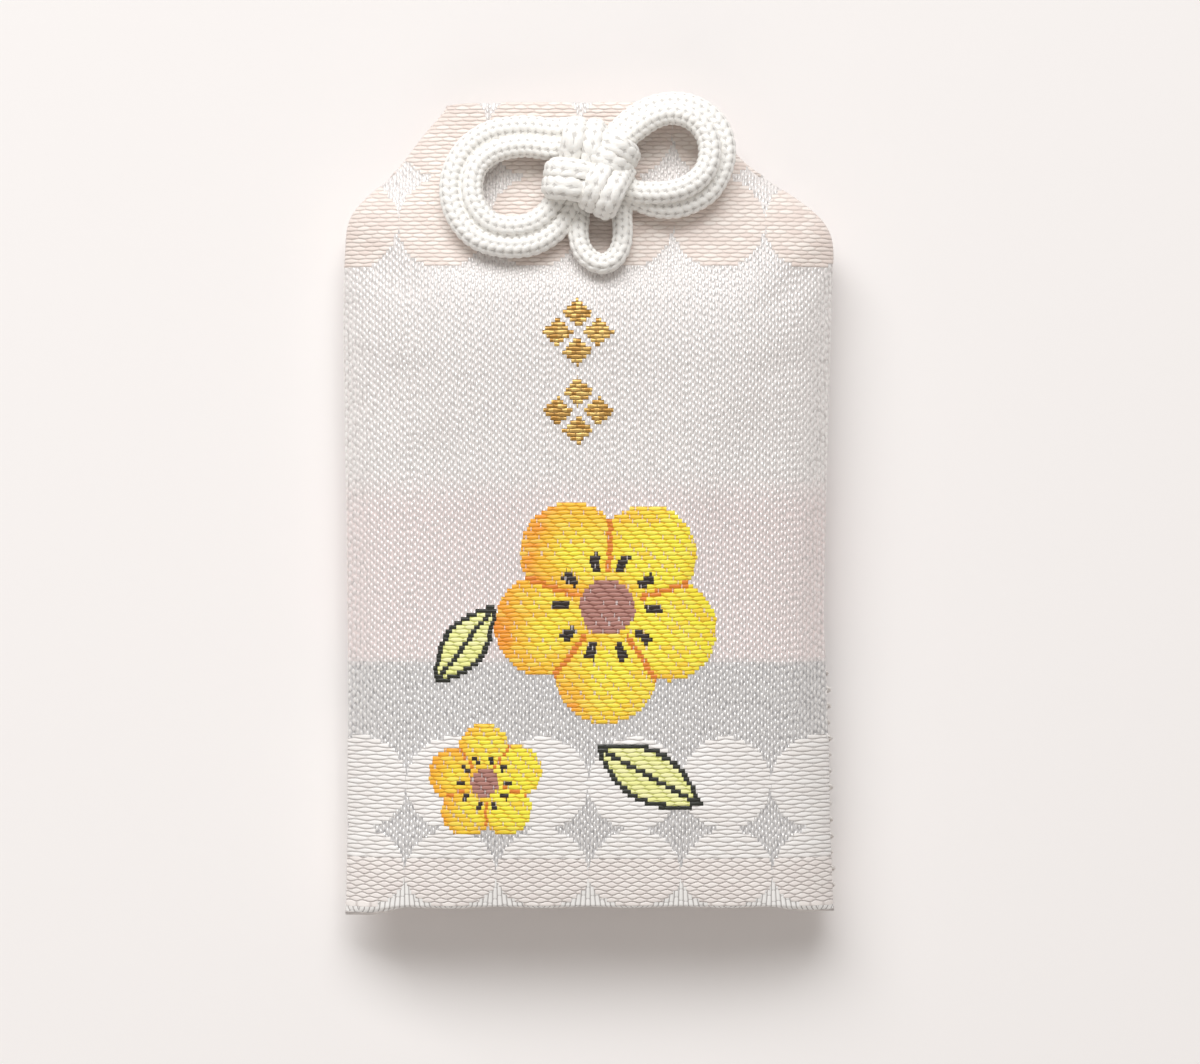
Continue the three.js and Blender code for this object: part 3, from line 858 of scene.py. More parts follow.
def brocade_finish(s_fold):
    material, tree, shader = finish_of("silver brocade", SATIN_ROUGHNESS)
    shader.inputs["Sheen Weight"].default_value = 0.25
    shader.inputs["Sheen Roughness"].default_value = 0.4
    x, strip = weave_place(tree)
    s = abs(strip - s_fold) + s_fold
    front = strip.above(s_fold)
    row, frayed_x, step_s = placed(tree, thread_grid, x, s)

    satin, dot, satin_height = satin_tones(tree, x, s, step_s)
    (fringe,) = placed(tree, fold_fringe, x, s)
    fold = step_s.below(FRINGE_TOP)
    # Painted shade in the hollows between the fringe's spikes.
    floats = mixed(tree, fringe.ramp(0.15, 0.7), FRINGE_HOLLOW_SHADE, FRINGE_THREAD)
    satin = mixed(tree, fold, satin, floats)
    satin_height = blended(tree, fold, satin_height, fringe * FRINGE_HEIGHT)
    weft, crest, crest_high = weft_tones(tree, x, s, step_s)
    circle = circle_mask(tree, s, frayed_x, step_s)
    colour = mixed(tree, circle, satin, weft)
    height = blended(tree, circle, satin_height, crest)
    metal = dot * (1.0 - circle) * (1.0 - fold) * SILVER_METAL

    twill = placed(tree, weft_floats, x, s, *TWILL)
    twill_height = twill[0] * ORNAMENT_HEIGHT
    ornaments = []
    for blossom in BLOSSOMS:
        inside, petals = blossom_tones(tree, frayed_x, step_s, blossom, twill, satin)
        ornaments.append((inside, petals, twill_height, 0.0))
    for leaf in LEAVES:
        inside, blade = leaf_tones(tree, frayed_x, step_s, leaf, twill)
        ornaments.append((inside, blade, twill_height, 0.0))
    gold = gold_tones(tree, x, row, crest_high)
    for lozenge in LOZENGES:
        (inside,) = placed(tree, lozenge_motif, frayed_x, step_s, *lozenge, *LOZENGE_HALF)
        ornaments.append((inside, gold, crest_high, GOLD_METAL))
    for inside, tone, rise, metal_share in ornaments:
        shown = inside * front
        colour = mixed(tree, shown, colour, tone)
        height = blended(tree, shown, height, rise)
        metal = blended(tree, shown, metal, metal_share)

    roughness = blended(tree, circle, SATIN_ROUGHNESS, WEFT_ROUGHNESS)
    tree.links.new(colour.socket, shader.inputs["Base Color"])
    tree.links.new(metal.socket, shader.inputs["Metallic"])
    tree.links.new(roughness.socket, shader.inputs["Roughness"])
    bumped(tree, shader, height, WEAVE_DEPTH)
    return material


# The brocade pouch: one strip of cloth, from the hem inside the front of the mouth, down the front,
# round the bottom fold and up the back to the other hem, sewn along both sides.
COLUMNS = 61
HEM_ROWS = 7
BODY_ROWS = 76
FOOT_ROWS = 15
FOOT_REACH = 6.0
MOUTH_TURNS = np.radians([135, 90, 45])
FOLD_TURNS = np.radians([88, 80, 66, 45, 22, 0, -22, -45, -66, -80, -88])
SEWN_DISTANCE = 0.02


def strip_rows():
    hem = np.linspace(Y_MOUTH - HEM_DEPTH, Y_MOUTH - HEM_ROUND, HEM_ROWS)
    body = np.concatenate([
        np.linspace(Y_MOUTH - HEM_ROUND, Y_FOLD + FOOT_REACH, BODY_ROWS),
        np.linspace(Y_FOLD + FOOT_REACH, Y_FOLD, FOOT_ROWS)[1:],
    ])
    rows = [("front hem", y) for y in hem]
    rows += [("front mouth", turn) for turn in MOUTH_TURNS]
    rows += [("front", y) for y in body]
    rows += [("fold", turn) for turn in FOLD_TURNS]
    rows += [("back", y) for y in body[::-1]]
    rows += [("back mouth", turn) for turn in MOUTH_TURNS[::-1]]
    rows += [("back hem", y) for y in hem[::-1]]
    return rows


def fold_points(turn, u):
    foot = np.full_like(u, Y_FOLD)
    x = across_x(u, foot)
    xs, ys = zip(*BOTTOM_EDGE)
    drop = Y_FOLD - np.interp(x, xs, ys)
    level, sharpness = (front_height, FOLD_EDGE) if turn > 0 else (back_height, FOLD_UNDERSIDE)
    y = Y_FOLD - drop * math.cos(turn) ** sharpness
    z = SEAM_HEIGHT + (level(u, foot) - SEAM_HEIGHT) * abs(math.sin(turn))
    return np.stack([x, y, z], axis=1)


def strip_points(row, u):
    kind, where = row
    if kind == "fold":
        return fold_points(where, u)
    level, side = (front_height, 1) if kind.startswith("front") else (back_height, -1)
    if kind.endswith("mouth"):
        y = np.full_like(u, Y_MOUTH - HEM_ROUND)
        rounding = HEM_ROUND * across_front(u)
        z = level(u, y) - side * rounding * (1 - math.cos(where))
        return np.stack([across_x(u, y), y + rounding * math.sin(where), z], axis=1)
    y = np.full_like(u, where)
    if kind.endswith("hem"):
        z = level(u, y) - side * 2 * HEM_ROUND * across_front(u)
        return np.stack([across_x(u * HEM_SHARE, y), y, z], axis=1)
    groove = SEAM_GROOVE * np.sign(u) * (np.abs(u) > SEAM_SHARE)
    return np.stack([across_x(u, y) - groove, y, level(u, y)], axis=1)


# The place s of each row along the strip, and that of the bottom fold.
def strip_lengths(rows):
    middle = np.array([strip_points(row, np.zeros(1))[0] for row in rows])
    steps = np.linalg.norm(np.diff(middle, axis=0), axis=1)
    run = np.concatenate([[0], np.cumsum(steps)])
    flat = [i for i, (kind, y) in enumerate(rows) if kind == "front" and y > LOWER_ROW_Y]
    first = flat[0]
    last = flat[-1]
    s = np.empty(len(rows))
    s[first:last] = [y for _, y in rows[first:last]]
    s[:first] = rows[first][1] + (run[first] - run[:first])
    s[last:] = rows[last][1] - (run[last:] - run[last])
    turn = [kind for kind, _ in rows].index("fold") + len(FOLD_TURNS) // 2
    return s, s[turn]


def weave_uv(x, s):
    return np.stack(np.broadcast_arrays(x / UV_WIDTH + 0.5, (s - UV_FOOT) / UV_LENGTH), axis=-1)


# The sewn strip is filled: held along its seams and its mouth, the slack cloth swells and puckers. It is
# worked out at SIM_SCALE times its size. The cloth lies still under the knot and moves little at the bottom.
SIM_SCALE = 20.0
SIM_FRAMES = 14
SIM_CLOTH = {
    "quality": 6,
    "mass": 0.3,
    "tension_stiffness": 20.0,
    "compression_stiffness": 20.0,
    "shear_stiffness": 8.0,
    "bending_stiffness": 1.0,
    "vertex_group_mass": "held",
    "shrink_min": -0.006,
    "use_pressure": True,
    "uniform_pressure_force": 1.2,
}
HELD_SHARE = 0.98
HELD_MOUTH = Y_MOUTH - HEM_ROUND - 0.1
SETTLE_LIMIT = 0.7
SETTLE_SHARE = 0.55
KNOT_CALM_X = (19.0, 14.0)
KNOT_CALM_Y = (19.0, 24.0)
BOTTOM_CALM_Y = (-27.0, -34.0)
BOTTOM_CALM = 0.8


def filled(pouch, held):
    pins = pouch.vertex_groups.new(name="held")
    pins.add([int(i) for i in np.nonzero(held)[0]], 1.0, "REPLACE")
    cloth = pouch.modifiers.new("filling", "CLOTH")
    for key, value in SIM_CLOTH.items():
        setattr(cloth.settings, key, value)
    cloth.settings.effector_weights.gravity = 0.0
    cloth.point_cache.frame_start = 1
    cloth.point_cache.frame_end = SIM_FRAMES
    for step in range(1, SIM_FRAMES + 1):
        bpy.context.scene.frame_set(step)
    shown = pouch.evaluated_get(bpy.context.evaluated_depsgraph_get())
    places = vertex_values(shown.data, "co")
    pouch.modifiers.remove(cloth)
    pouch.vertex_groups.clear()
    bpy.context.scene.frame_set(1)
    return places


def settle(pouch):
    start = vertex_values(pouch.data, "co")
    x, y, z = (start / MM).T
    held = (np.abs(share_across(x, y)) > HELD_SHARE) | (y > HELD_MOUTH)
    pouch.data.vertices.foreach_set("co", (start * SIM_SCALE).ravel())
    moved = filled(pouch, held) / SIM_SCALE - start
    far = np.linalg.norm(moved, axis=1)
    limit = SETTLE_LIMIT * MM
    moved *= (limit * np.tanh(far / limit) / np.maximum(far, 1e-9))[:, None]
    at_knot = smoothstep(y, *KNOT_CALM_Y) * smoothstep(np.abs(x - KNOT[0]), *KNOT_CALM_X)
    under_knot = at_knot * (z > SEAM_HEIGHT)
    at_bottom = BOTTOM_CALM * smoothstep(y, *BOTTOM_CALM_Y)
    moved *= (SETTLE_SHARE * (1 - under_knot) * (1 - at_bottom))[:, None]
    done = start + moved
    done[:, 2] = np.maximum(done[:, 2], 0.0)
    pouch.data.vertices.foreach_set("co", done.ravel())


# Circles and ornaments are woven over the satin, so they stand up from it. Each slope is where the cloth
# starts to rise, and where it stands at its full height.
CIRCLE_RELIEF = 0.07
CIRCLE_SLOPE = (CIRCLE_RADIUS + 0.2, CIRCLE_RADIUS - 0.25)
LOWER_SLOPE = (LOWER_ZONE_TOP + 0.2, LOWER_ZONE_TOP - 0.2)
UPPER_SLOPE = (UPPER_ZONE_FOOT - 0.2, UPPER_ZONE_FOOT + 0.2)
ORNAMENT_RELIEF = 0.14
PETAL_SLOPE = (1.04, 0.94)
EYE_SLOPE = (0.44, 0.38)
CREASE_SLOPE = (0.5, 0.0)
CREASE_REACH = (0.25, 0.4)
CREASE_DEPTH = 0.6
LEAF_SLOPE = (-0.1, 0.3)
LOZENGE_SLOPE = (1.05, 0.95)
DIVISION_SLOPE = (0.08, 0.18)


def circle_share(x, s, row_y):
    across = ((x - CIRCLE_X) / CIRCLE_PITCH + 0.5) % 1 - 0.5
    pressed = np.maximum(0, LAST_ROW_Y - s) * (LAST_ROW_PRESS - 1)
    up = ((s - pressed - row_y) / CIRCLE_PITCH + 0.5) % 1 - 0.5
    return smoothstep(np.hypot(across, up) * CIRCLE_PITCH, *CIRCLE_SLOPE)


def blossom_share(x, s, centre_x, centre_s, radius, turn):
    across = (x - centre_x) / radius
    up = (s - centre_s) / radius
    reach = np.hypot(across, up)
    angle = np.arctan2(up, across) + turn
    turned = angle - np.floor(angle / PETAL_SECTOR + 0.5) * PETAL_SECTOR
    rim = np.hypot(reach * np.cos(turned) - PETAL_MIDDLE, reach * np.sin(turned)) / PETAL_RADIUS
    parting = (PETAL_SECTOR / 2 - np.abs(turned)) * reach * radius
    crease = smoothstep(parting, *CREASE_SLOPE) * smoothstep(reach, *CREASE_REACH)
    petals = np.maximum(smoothstep(rim, *PETAL_SLOPE), smoothstep(reach, *EYE_SLOPE))
    return petals * (1 - CREASE_DEPTH * crease)


def leaf_share(x, s, centre_x, centre_s, length, width, turn):
    across = x - centre_x
    up = s - centre_s
    along = (across * math.cos(turn) + up * math.sin(turn)) / length
    aside = np.abs(up * math.cos(turn) - across * math.sin(turn))
    return smoothstep((1 - along * along) * width - aside, *LEAF_SLOPE)


def lozenge_share(x, s, centre_x, centre_s):
    across = (x - centre_x) / LOZENGE_HALF[0]
    up = (s - centre_s) / LOZENGE_HALF[1]
    one = np.abs(across + up)
    other = np.abs(across - up)
    inside = smoothstep(np.maximum(one, other), *LOZENGE_SLOPE)
    return inside * smoothstep(np.minimum(one, other), *DIVISION_SLOPE)


def ornament_relief(x, strip, s_fold):
    s = np.abs(strip - s_fold) + s_fold
    lower = circle_share(x, s, LOWER_ROW_Y) * smoothstep(s, *LOWER_SLOPE)
    upper = circle_share(x + UPPER_SHIFT, s, UPPER_ROW_Y) * smoothstep(s, *UPPER_SLOPE)
    shares = [blossom_share(x, s, *blossom) for blossom in BLOSSOMS]
    shares += [leaf_share(x, s, *leaf) for leaf in LEAVES]
    shares += [lozenge_share(x, s, *lozenge) for lozenge in LOZENGES]
    ornament = np.max(shares, axis=0) * (strip > s_fold)
    return np.maximum(CIRCLE_RELIEF * np.maximum(lower, upper), ORNAMENT_RELIEF * ornament)


def raise_ornaments(pouch, s_fold):
    mesh = pouch.data
    corner_uv = np.empty(len(mesh.loops) * 2)
    mesh.uv_layers["weave"].data.foreach_get("uv", corner_uv)
    uv = np.empty((len(mesh.vertices), 2))
    uv[loop_vertices(mesh)] = corner_uv.reshape(-1, 2)
    x = (uv[:, 0] - 0.5) * UV_WIDTH
    strip = uv[:, 1] * UV_LENGTH + UV_FOOT
    relief = ornament_relief(x, strip, s_fold) * MM
    raised = vertex_values(mesh, "co") + vertex_values(mesh, "normal") * relief[:, None]
    mesh.vertices.foreach_set("co", raised.ravel())
    mesh.update()


def make_pouch():
    rows = strip_rows()
    s, s_fold = strip_lengths(rows)
    u = np.sin(np.linspace(-math.pi / 2, math.pi / 2, COLUMNS))
    points = np.array([strip_points(row, u) for row in rows])
    uv = weave_uv(points[:, :, 0], s[:, None])
    pouch = new_object("brocade_cloth", points.reshape(-1, 3), grid_faces(len(rows), COLUMNS))
    with_uv(pouch, uv.reshape(-1, 2))
    merged(pouch, SEWN_DISTANCE * MM)
    settle(pouch)
    apply_modifier(pouch, "SUBSURF", levels=1, render_levels=1, uv_smooth="NONE")
    raise_ornaments(pouch, s_fold)
    apply_modifier(pouch, "SOLIDIFY", thickness=WOVEN_THICKNESS * MM, offset=-1.0)
    smooth(pouch)
    finish = brocade_finish(s_fold)
    pouch.data.materials.append(finish)
    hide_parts("brocade_pouch")
    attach(pouch, "pouch")
    return finish


# Braided cord: columns of plump stitches round it, which lean to one side and to the other by turns.
BRAID_RADIUS = 1.03
STITCH_PITCH = 0.74
STITCH_COLUMNS = 8
POINTS_PER_COLUMN = 6
RINGS_PER_STITCH = 7
STITCH_WIDTH = 0.746
STITCH_LEAN = math.radians(40)
STITCH_HALF_LENGTH = 0.52
STITCH_HALF_WIDTH = 0.31
STITCH_SINK = 0.1
STITCH_SWELL = 0.16
PRESSED_POWER = 2.6
ROUTE_STEPS = 60
STEEP = 0.9


# A smooth curve through the chosen points, in even steps, and how far along it each step is.
def smooth_route(points, spacing):
    points = np.asarray(points, dtype=float)
    ends = np.vstack([2 * points[0] - points[1], points, 2 * points[-1] - points[-2]])
    fine = []
    for i in range(len(points) - 1):
        four = ends[i : i + 4]
        chords = np.linalg.norm(np.diff(four, axis=0), axis=1)
        knots = np.concatenate([[0], np.cumsum(np.maximum(chords, 1e-6) ** 0.5)])
        for t in np.linspace(knots[1], knots[2], ROUTE_STEPS, endpoint=False):
            fine.append(between(*four, knots, t))
    fine.append(points[-1])
    fine = np.array(fine)
    run = np.concatenate([[0], np.cumsum(np.linalg.norm(np.diff(fine, axis=0), axis=1))])
    count = max(4, int(round(run[-1] / spacing)))
    even = np.linspace(0, run[-1], count + 1)
    return np.stack([np.interp(even, run, fine[:, k]) for k in range(3)], axis=1), even


def between(a, b, c, d, knots, t):
    def share(p, q, low, high):
        return p * (high - t) / (high - low) + q * (t - low) / (high - low)

    first = share(a, b, knots[0], knots[1])
    second = share(b, c, knots[1], knots[2])
    third = share(c, d, knots[2], knots[3])
    near = share(first, second, knots[0], knots[2])
    far = share(second, third, knots[1], knots[3])
    return share(near, far, knots[1], knots[2])


# Directions out from a route, at each of its steps and all round it, without a twist.
def rings_round(centres, points_round):
    tangents = np.gradient(centres, axis=0)
    tangents /= np.linalg.norm(tangents, axis=1)[:, None]
    steep = abs(tangents[0][2]) >= STEEP
    normal = np.array([0.0, 1.0, 0.0] if steep else [0.0, 0.0, 1.0])
    normals = []
    for tangent in tangents:
        normal = normal - tangent * (normal @ tangent)
        normal = normal / np.linalg.norm(normal)
        normals.append(normal)
    normals = np.array(normals)
    sides = np.cross(tangents, normals)
    angle = 2 * math.pi * np.arange(points_round) / points_round
    return normals[:, None] * np.cos(angle)[:, None] + sides[:, None] * np.sin(angle)[:, None]


def stitch_height(share, run):
    height = np.zeros(np.broadcast(share, run).shape)
    nearest = np.round(run / STITCH_PITCH)
    for column in range(-1, STITCH_COLUMNS + 1):
        lean = 1.0 if column % 2 == 0 else -1.0
        across = (share - column - 0.5) * STITCH_WIDTH
        for step in (-1, 0, 1):
            up = run - (nearest + step) * STITCH_PITCH
            along = up * math.cos(STITCH_LEAN) + lean * across * math.sin(STITCH_LEAN)
            aside = across * math.cos(STITCH_LEAN) - lean * up * math.sin(STITCH_LEAN)
            plump = 1 - (along / STITCH_HALF_LENGTH) ** 2 - (aside / STITCH_HALF_WIDTH) ** 2
            height = np.maximum(height, np.sqrt(np.maximum(0, plump)))
    return height


# Where a cord is pressed by its neighbour, its round is squared and flat on that side.
def pressed_flat(offsets, ring, toward, limit):
    lean = np.clip(ring @ toward, 0, 1)
    rounded = lean**PRESSED_POWER + (1 - lean**2) ** (PRESSED_POWER / 2)
    offsets = offsets * (rounded ** (-1 / PRESSED_POWER))[:, :, None]
    past = np.maximum(0, offsets @ toward - limit)
    return offsets - past[:, :, None] * toward


def braid(name, route, radius, finish, pressed=None):
    centres, run = smooth_route(route, STITCH_PITCH / RINGS_PER_STITCH)
    count = STITCH_COLUMNS * POINTS_PER_COLUMN
    share = np.arange(count) / POINTS_PER_COLUMN
    height = stitch_height(share[None, :], run[:, None])
    ring = rings_round(centres, count)
    offsets = ring * (radius - STITCH_SINK + STITCH_SWELL * height)[:, :, None]
    if pressed:
        offsets = pressed_flat(offsets, ring, *pressed)
    points = centres[:, None, :] + offsets
    cord = new_object(name, points.reshape(-1, 3), tube_faces(len(centres), count))
    # How deep each point lies between stitches, for the painted shade of the cord's finish.
    stitch_shade = cord.data.attributes.new("stitch_shade", "FLOAT", "POINT")
    stitch_shade.data.foreach_set("value", (1 - height).astype(np.float32).ravel())
    smooth(cord)
    cord.data.materials.append(finish)
    length = float(run[-1]) * MM
    return cord, (centres * MM).tolist(), length


def cord_finish():
    tones = (0.3, 0.7, shade(255, 252, 247), shade(255, 255, 252))
    material, tree, shader, colour = fibre_finish("white braid", 0.55, 5200.0, 3.0, tones, 0.00006)
    stitch_shade = attribute_value(tree, "stitch_shade").ramp(0.6, 1.0)
    # Painted shade in the hollows between stitches.
    shaded = mixed(tree, stitch_shade, colour, shade(213, 210, 206))
    tree.links.new(shaded.socket, shader.inputs["Base Color"])
    shader.inputs["Sheen Weight"].default_value = 0.15
    return material


# Routes of the closing cord, as seen from above. The knot's plane gives their heights.
LEFT_OUTER = [
    (-3.2, 34.6), (-6.2, 34.85), (-9.3, 34.3), (-11.5, 32.65), (-12.7, 30.0), (-12.4, 27.1),
    (-10.6, 24.7), (-7.9, 23.8), (-5.2, 24.0), (-3.2, 25.2), (-2.2, 26.5), (-1.3, 28.2),
]
LEFT_INNER = [
    (-3.2, 32.8), (-6.2, 33.05), (-8.75, 32.5), (-10.38, 31.1), (-10.83, 29.3), (-10.5, 27.6),
    (-9.15, 26.02), (-7.2, 25.55), (-5.25, 25.95), (-3.85, 27.0), (-2.85, 28.5), (-2.1, 30.0),
]
RIGHT_OUTER = [
    (3.6, 35.4), (5.05, 36.4), (6.7, 36.95), (8.45, 37.0), (10.1, 36.45), (11.45, 35.3),
    (12.2, 33.75), (12.3, 32.0), (11.8, 30.3), (10.85, 28.85), (9.4, 27.9), (7.7, 27.4),
    (6.0, 27.5), (4.35, 28.1), (3.0, 28.8), (1.8, 29.5),
]
RIGHT_INNER = [
    (3.6, 34.05), (4.75, 34.9), (6.0, 35.65), (7.4, 36.0), (8.8, 35.75), (10.0, 34.95),
    (10.75, 33.75), (10.95, 32.3), (10.6, 30.9), (9.7, 29.8), (8.45, 29.05), (7.05, 28.7),
    (5.6, 28.65), (4.15, 28.8), (3.0, 29.4), (2.0, 30.3),
]
# How far each point of an ear's inner loop stands above the outer one, which the right ear's overlaps.
LEFT_INNER_RISE = [0.4] * len(LEFT_INNER)
RIGHT_INNER_RISE = [
    0.9, 1.2, 1.5, 1.65, 1.65, 1.6, 1.6, 1.6, 1.6, 1.6, 1.6, 1.55, 1.4, 1.2, 0.9, 0.6,
]
# Where each ear's two loops turn back inside the knot.
LEFT_TURN = [(-1.6, 34.7), (-0.8, 34.0), (-1.2, 33.2)]
RIGHT_TURN = [(2.4, 34.3), (1.7, 33.6), (2.5, 33.3)]
# The drop loop, the stems that lead it up under the knot, and the bridge between the eyelets across the back.
DROP_LOOP = [
    (-1.05, 25.0), (-0.75, 23.6), (0.05, 22.6), (1.1, 22.2), (2.1, 22.6), (2.8, 23.7), (3.0, 25.0),
]
DROP_RADIUS = 0.93
LEFT_STEM = [(-0.95, 26.6), (-1.0, 29.3), (-1.7, 30.6)]
RIGHT_STEM = [(2.95, 26.6), (3.2, 29.3), (3.1, 30.6)]
EYELETS = (-2.15, 3.05)
EYELET_DIP = 0.2
BRIDGE_SHARE = 0.1
BRIDGE_BEND = 1.5
BRIDGE_CORNER = 0.44
# The stretches of cord that cross under the knot's face.
HEART_STRANDS = [
    [(-3.3, 28.0), (0.4, 29.3), (4.2, 29.4)],
    [(-2.1, 27.1), (0.4, 28.3), (4.0, 27.9)],
]
# Each fold of the knot: its name, its lean in degrees as the cord was drawn tight, how far it stands up,
# its shift to the right and upwards, and how far apart the middles of its two strands are.
WRAPS = [
    ("top", 8, -0.1, 0.0, -0.9, 1.8),
    ("left", 8, 0.1, 0.2, -0.9, 1.5),
    ("bottom", 26, 0.25, 0.1, -0.2, 1.6),
    ("right", 28, -0.1, -0.9, -0.05, 1.45),
]
WRAP_MIDDLE = (1.9, 1.1)
WRAP_RADIUS = 1.18
WRAP_OVERLAP = 0.03
INNER_OFFSET = 0.2
# Along a strand of a fold: how far out from the knot's middle it is, and how far it dips below its crest.
INNER_ROUTE = [(-0.5, -1.9), (0.4, -1.2), (1.5, -0.2), (2.4, 0), (3.2, -0.35), (3.75, -1.3), (3.85, -2.7)]
OUTER_ROUTE = [(0.1, -2.2), (0.9, -1.5), (1.7, -0.5), (2.5, 0), (3.2, -0.35), (3.75, -1.3), (3.85, -2.7)]


def on_knot(points, lift):
    lifts = np.broadcast_to(lift, len(points))
    head_y = KNOT[1] + KNOT_REACH_UP
    return [
        (x, y, KNOT_HEAD_Z + KNOT_SLOPE * (head_y - y) + up)
        for (x, y), up in zip(points, lifts)
    ]


def make_ear(name, outer, turn, inner, inner_rise, nodes, finish):
    turn_rise = [0.0, inner_rise[0] / 2, inner_rise[0]]
    rise = [0.0] * len(outer) + turn_rise + inner_rise
    route = on_knot(outer[::-1] + turn + inner, [EAR_LIFT + up for up in rise])
    ear, path, length = braid(name, route, BRAID_RADIUS, finish)
    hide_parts(*nodes)
    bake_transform(ear)


def make_drop_loop(finish):
    left, right = EYELETS
    y = KNOT[1]
    low = back_height(BRIDGE_SHARE, y) - CLEARANCE - CORD_RADIUS
    high = KNOT_HEAD_Z + KNOT_SLOPE * KNOT_REACH_UP - EYELET_DIP
    bend = [
        (0.0, SEAM_HEIGHT), (0.0, low + BRIDGE_BEND),
        (BRIDGE_CORNER, low + BRIDGE_CORNER), (BRIDGE_BEND, low),
    ]
    route = [(left, y, high)]
    route += on_knot(LEFT_STEM, HEART_LIFT)[::-1]
    route += on_knot(DROP_LOOP, EAR_LIFT)
    route += on_knot(RIGHT_STEM, HEART_LIFT)
    route += [(right, y, high)]
    route += [(right - inset, y, z) for inset, z in bend]
    route += [(left + inset, y, z) for inset, z in bend[::-1]]
    loop, path, length = braid("drop_loop_cord", route, DROP_RADIUS, finish)
    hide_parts("drop_loop", "closing_bridge")
    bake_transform(loop)


# A place on a fold of the knot, turned by the fold's lean about its own middle.
def leant(along, offset, tilt):
    out = along - WRAP_MIDDLE[0]
    aside = offset - WRAP_MIDDLE[1]
    leant_out = WRAP_MIDDLE[0] + out * math.cos(tilt) + aside * math.sin(tilt)
    leant_aside = WRAP_MIDDLE[1] + aside * math.cos(tilt) - out * math.sin(tilt)
    return leant_out, leant_aside


def make_knot(finish):
    for quarter, (name, lean, stand, shift_x, shift_y, spread) in enumerate(WRAPS):
        turn = quarter * math.pi / 2
        tilt = math.radians(lean)
        beside_x = -math.sin(tilt) * math.sin(turn) - math.cos(tilt) * math.cos(turn)
        beside_y = math.sin(tilt) * math.cos(turn) - math.cos(tilt) * math.sin(turn)
        beside = np.array([beside_x, beside_y, -KNOT_SLOPE * beside_y])
        beside /= np.linalg.norm(beside)
        strands = [
            ("inner", INNER_OFFSET, INNER_ROUTE, beside),
            ("outer", INNER_OFFSET + spread, OUTER_ROUTE, -beside),
        ]
        for strand, offset, route, toward in strands:
            flat = []
            for along, _ in route:
                out, aside = leant(along, offset, tilt)
                x = KNOT[0] + shift_x - out * math.sin(turn) - aside * math.cos(turn)
                y = KNOT[1] + shift_y + out * math.cos(turn) - aside * math.sin(turn)
                flat.append((x, y))
            points = on_knot(flat, [BODY_LIFT + stand + dip for _, dip in route])
            pressed = (toward, spread / 2 + WRAP_OVERLAP)
            wrap, _, _ = braid(f"wrap_{name}_{strand}", points, WRAP_RADIUS, finish, pressed)
            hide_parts(f"knot_{name}_{strand}")
            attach(wrap, "pouch")
    for place, strand in enumerate(HEART_STRANDS):
        points = on_knot(strand, HEART_LIFT)
        crossing, _, _ = braid(f"heart_strand_{place + 1}", points, PRESSED_RADIUS, finish)
        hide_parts("knot_heart")
        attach(crossing, "pouch")


# Corner flaps: the shoulders' cloth, turned down behind them.
FLAP_FOOT = 26.6
FLAP_TOP = 36.7
FLAP_INNER_X = 10.5
FLAP_EDGE_INSET = 0.7
FLAP_THICKNESS = 0.9
FLAP_ROUNDING = 0.25
FLAP_PLACES = 25


def make_corner_flap(name, node, side, finish):
    edge = LEFT_EDGE if side < 0 else RIGHT_EDGE
    points = []
    uv = []
    for y in np.linspace(FLAP_FOOT, FLAP_TOP, FLAP_PLACES):
        outer = abs(edge_x(edge, y)) - FLAP_EDGE_INSET
        inner = min(FLAP_INNER_X, outer - CLEARANCE)
        for x in side * np.linspace(inner, outer, FLAP_PLACES):
            z = back_height(share_across(x, y), y) - CLEARANCE
            points.append((x, y, z))
            uv.append(weave_uv(x, -2 * Y_MOUTH - y))
    flap = new_object(name, points, grid_faces(FLAP_PLACES, FLAP_PLACES))
    with_uv(flap, uv)
    if side > 0:
        flap.data.flip_normals()
    apply_modifier(flap, "SOLIDIFY", thickness=FLAP_THICKNESS * MM, offset=1.0)
    apply_modifier(flap, "BEVEL", width=FLAP_ROUNDING * MM, segments=2, limit_method="ANGLE")
    smooth(flap)
    flap.data.materials.append(finish)
    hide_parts(node)
    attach(flap, "pouch")


# Side seams: overcast stitches that lie in the groove between the two sewn edges. Where the seam has worked
# loose, a stitch stands out from the edge as a small loop.
OVERCAST_SPACING = 1.5
OVERCAST_TOP = 26.0
OVERCAST_ADVANCE = 0.4
OVERCAST_DEPTH = 0.5
OVERCAST_RISE = 0.55
LOOSE_SEAM = (-36.0, -14.0)
LOOSE_TURN = 1.9
LOOSE_REACH = 0.16
LOOSE_SPREAD = 0.1
LOOSE_RHYTHM = 2.3
TIGHT_TURN = 0.6
TIGHT_REACH = -0.25
THREAD_RADIUS = 0.12
THREAD_POINTS = 6
THREAD_RINGS = 9


def overcast_stitch(number, x, y, side):
    turn = TIGHT_TURN
    reach = TIGHT_REACH
    if side > 0 and LOOSE_SEAM[0] < y < LOOSE_SEAM[1]:
        turn = LOOSE_TURN
        reach = LOOSE_REACH + LOOSE_SPREAD * math.sin(number * LOOSE_RHYTHM)
    turns = np.linspace(-LOOSE_TURN, turn, THREAD_RINGS)
    out = reach - OVERCAST_DEPTH + OVERCAST_DEPTH * np.cos(turns)
    along = y + OVERCAST_ADVANCE * turns / LOOSE_TURN
    return np.stack([x + side * out, along, SEAM_HEIGHT + OVERCAST_RISE * np.sin(turns)], axis=1)


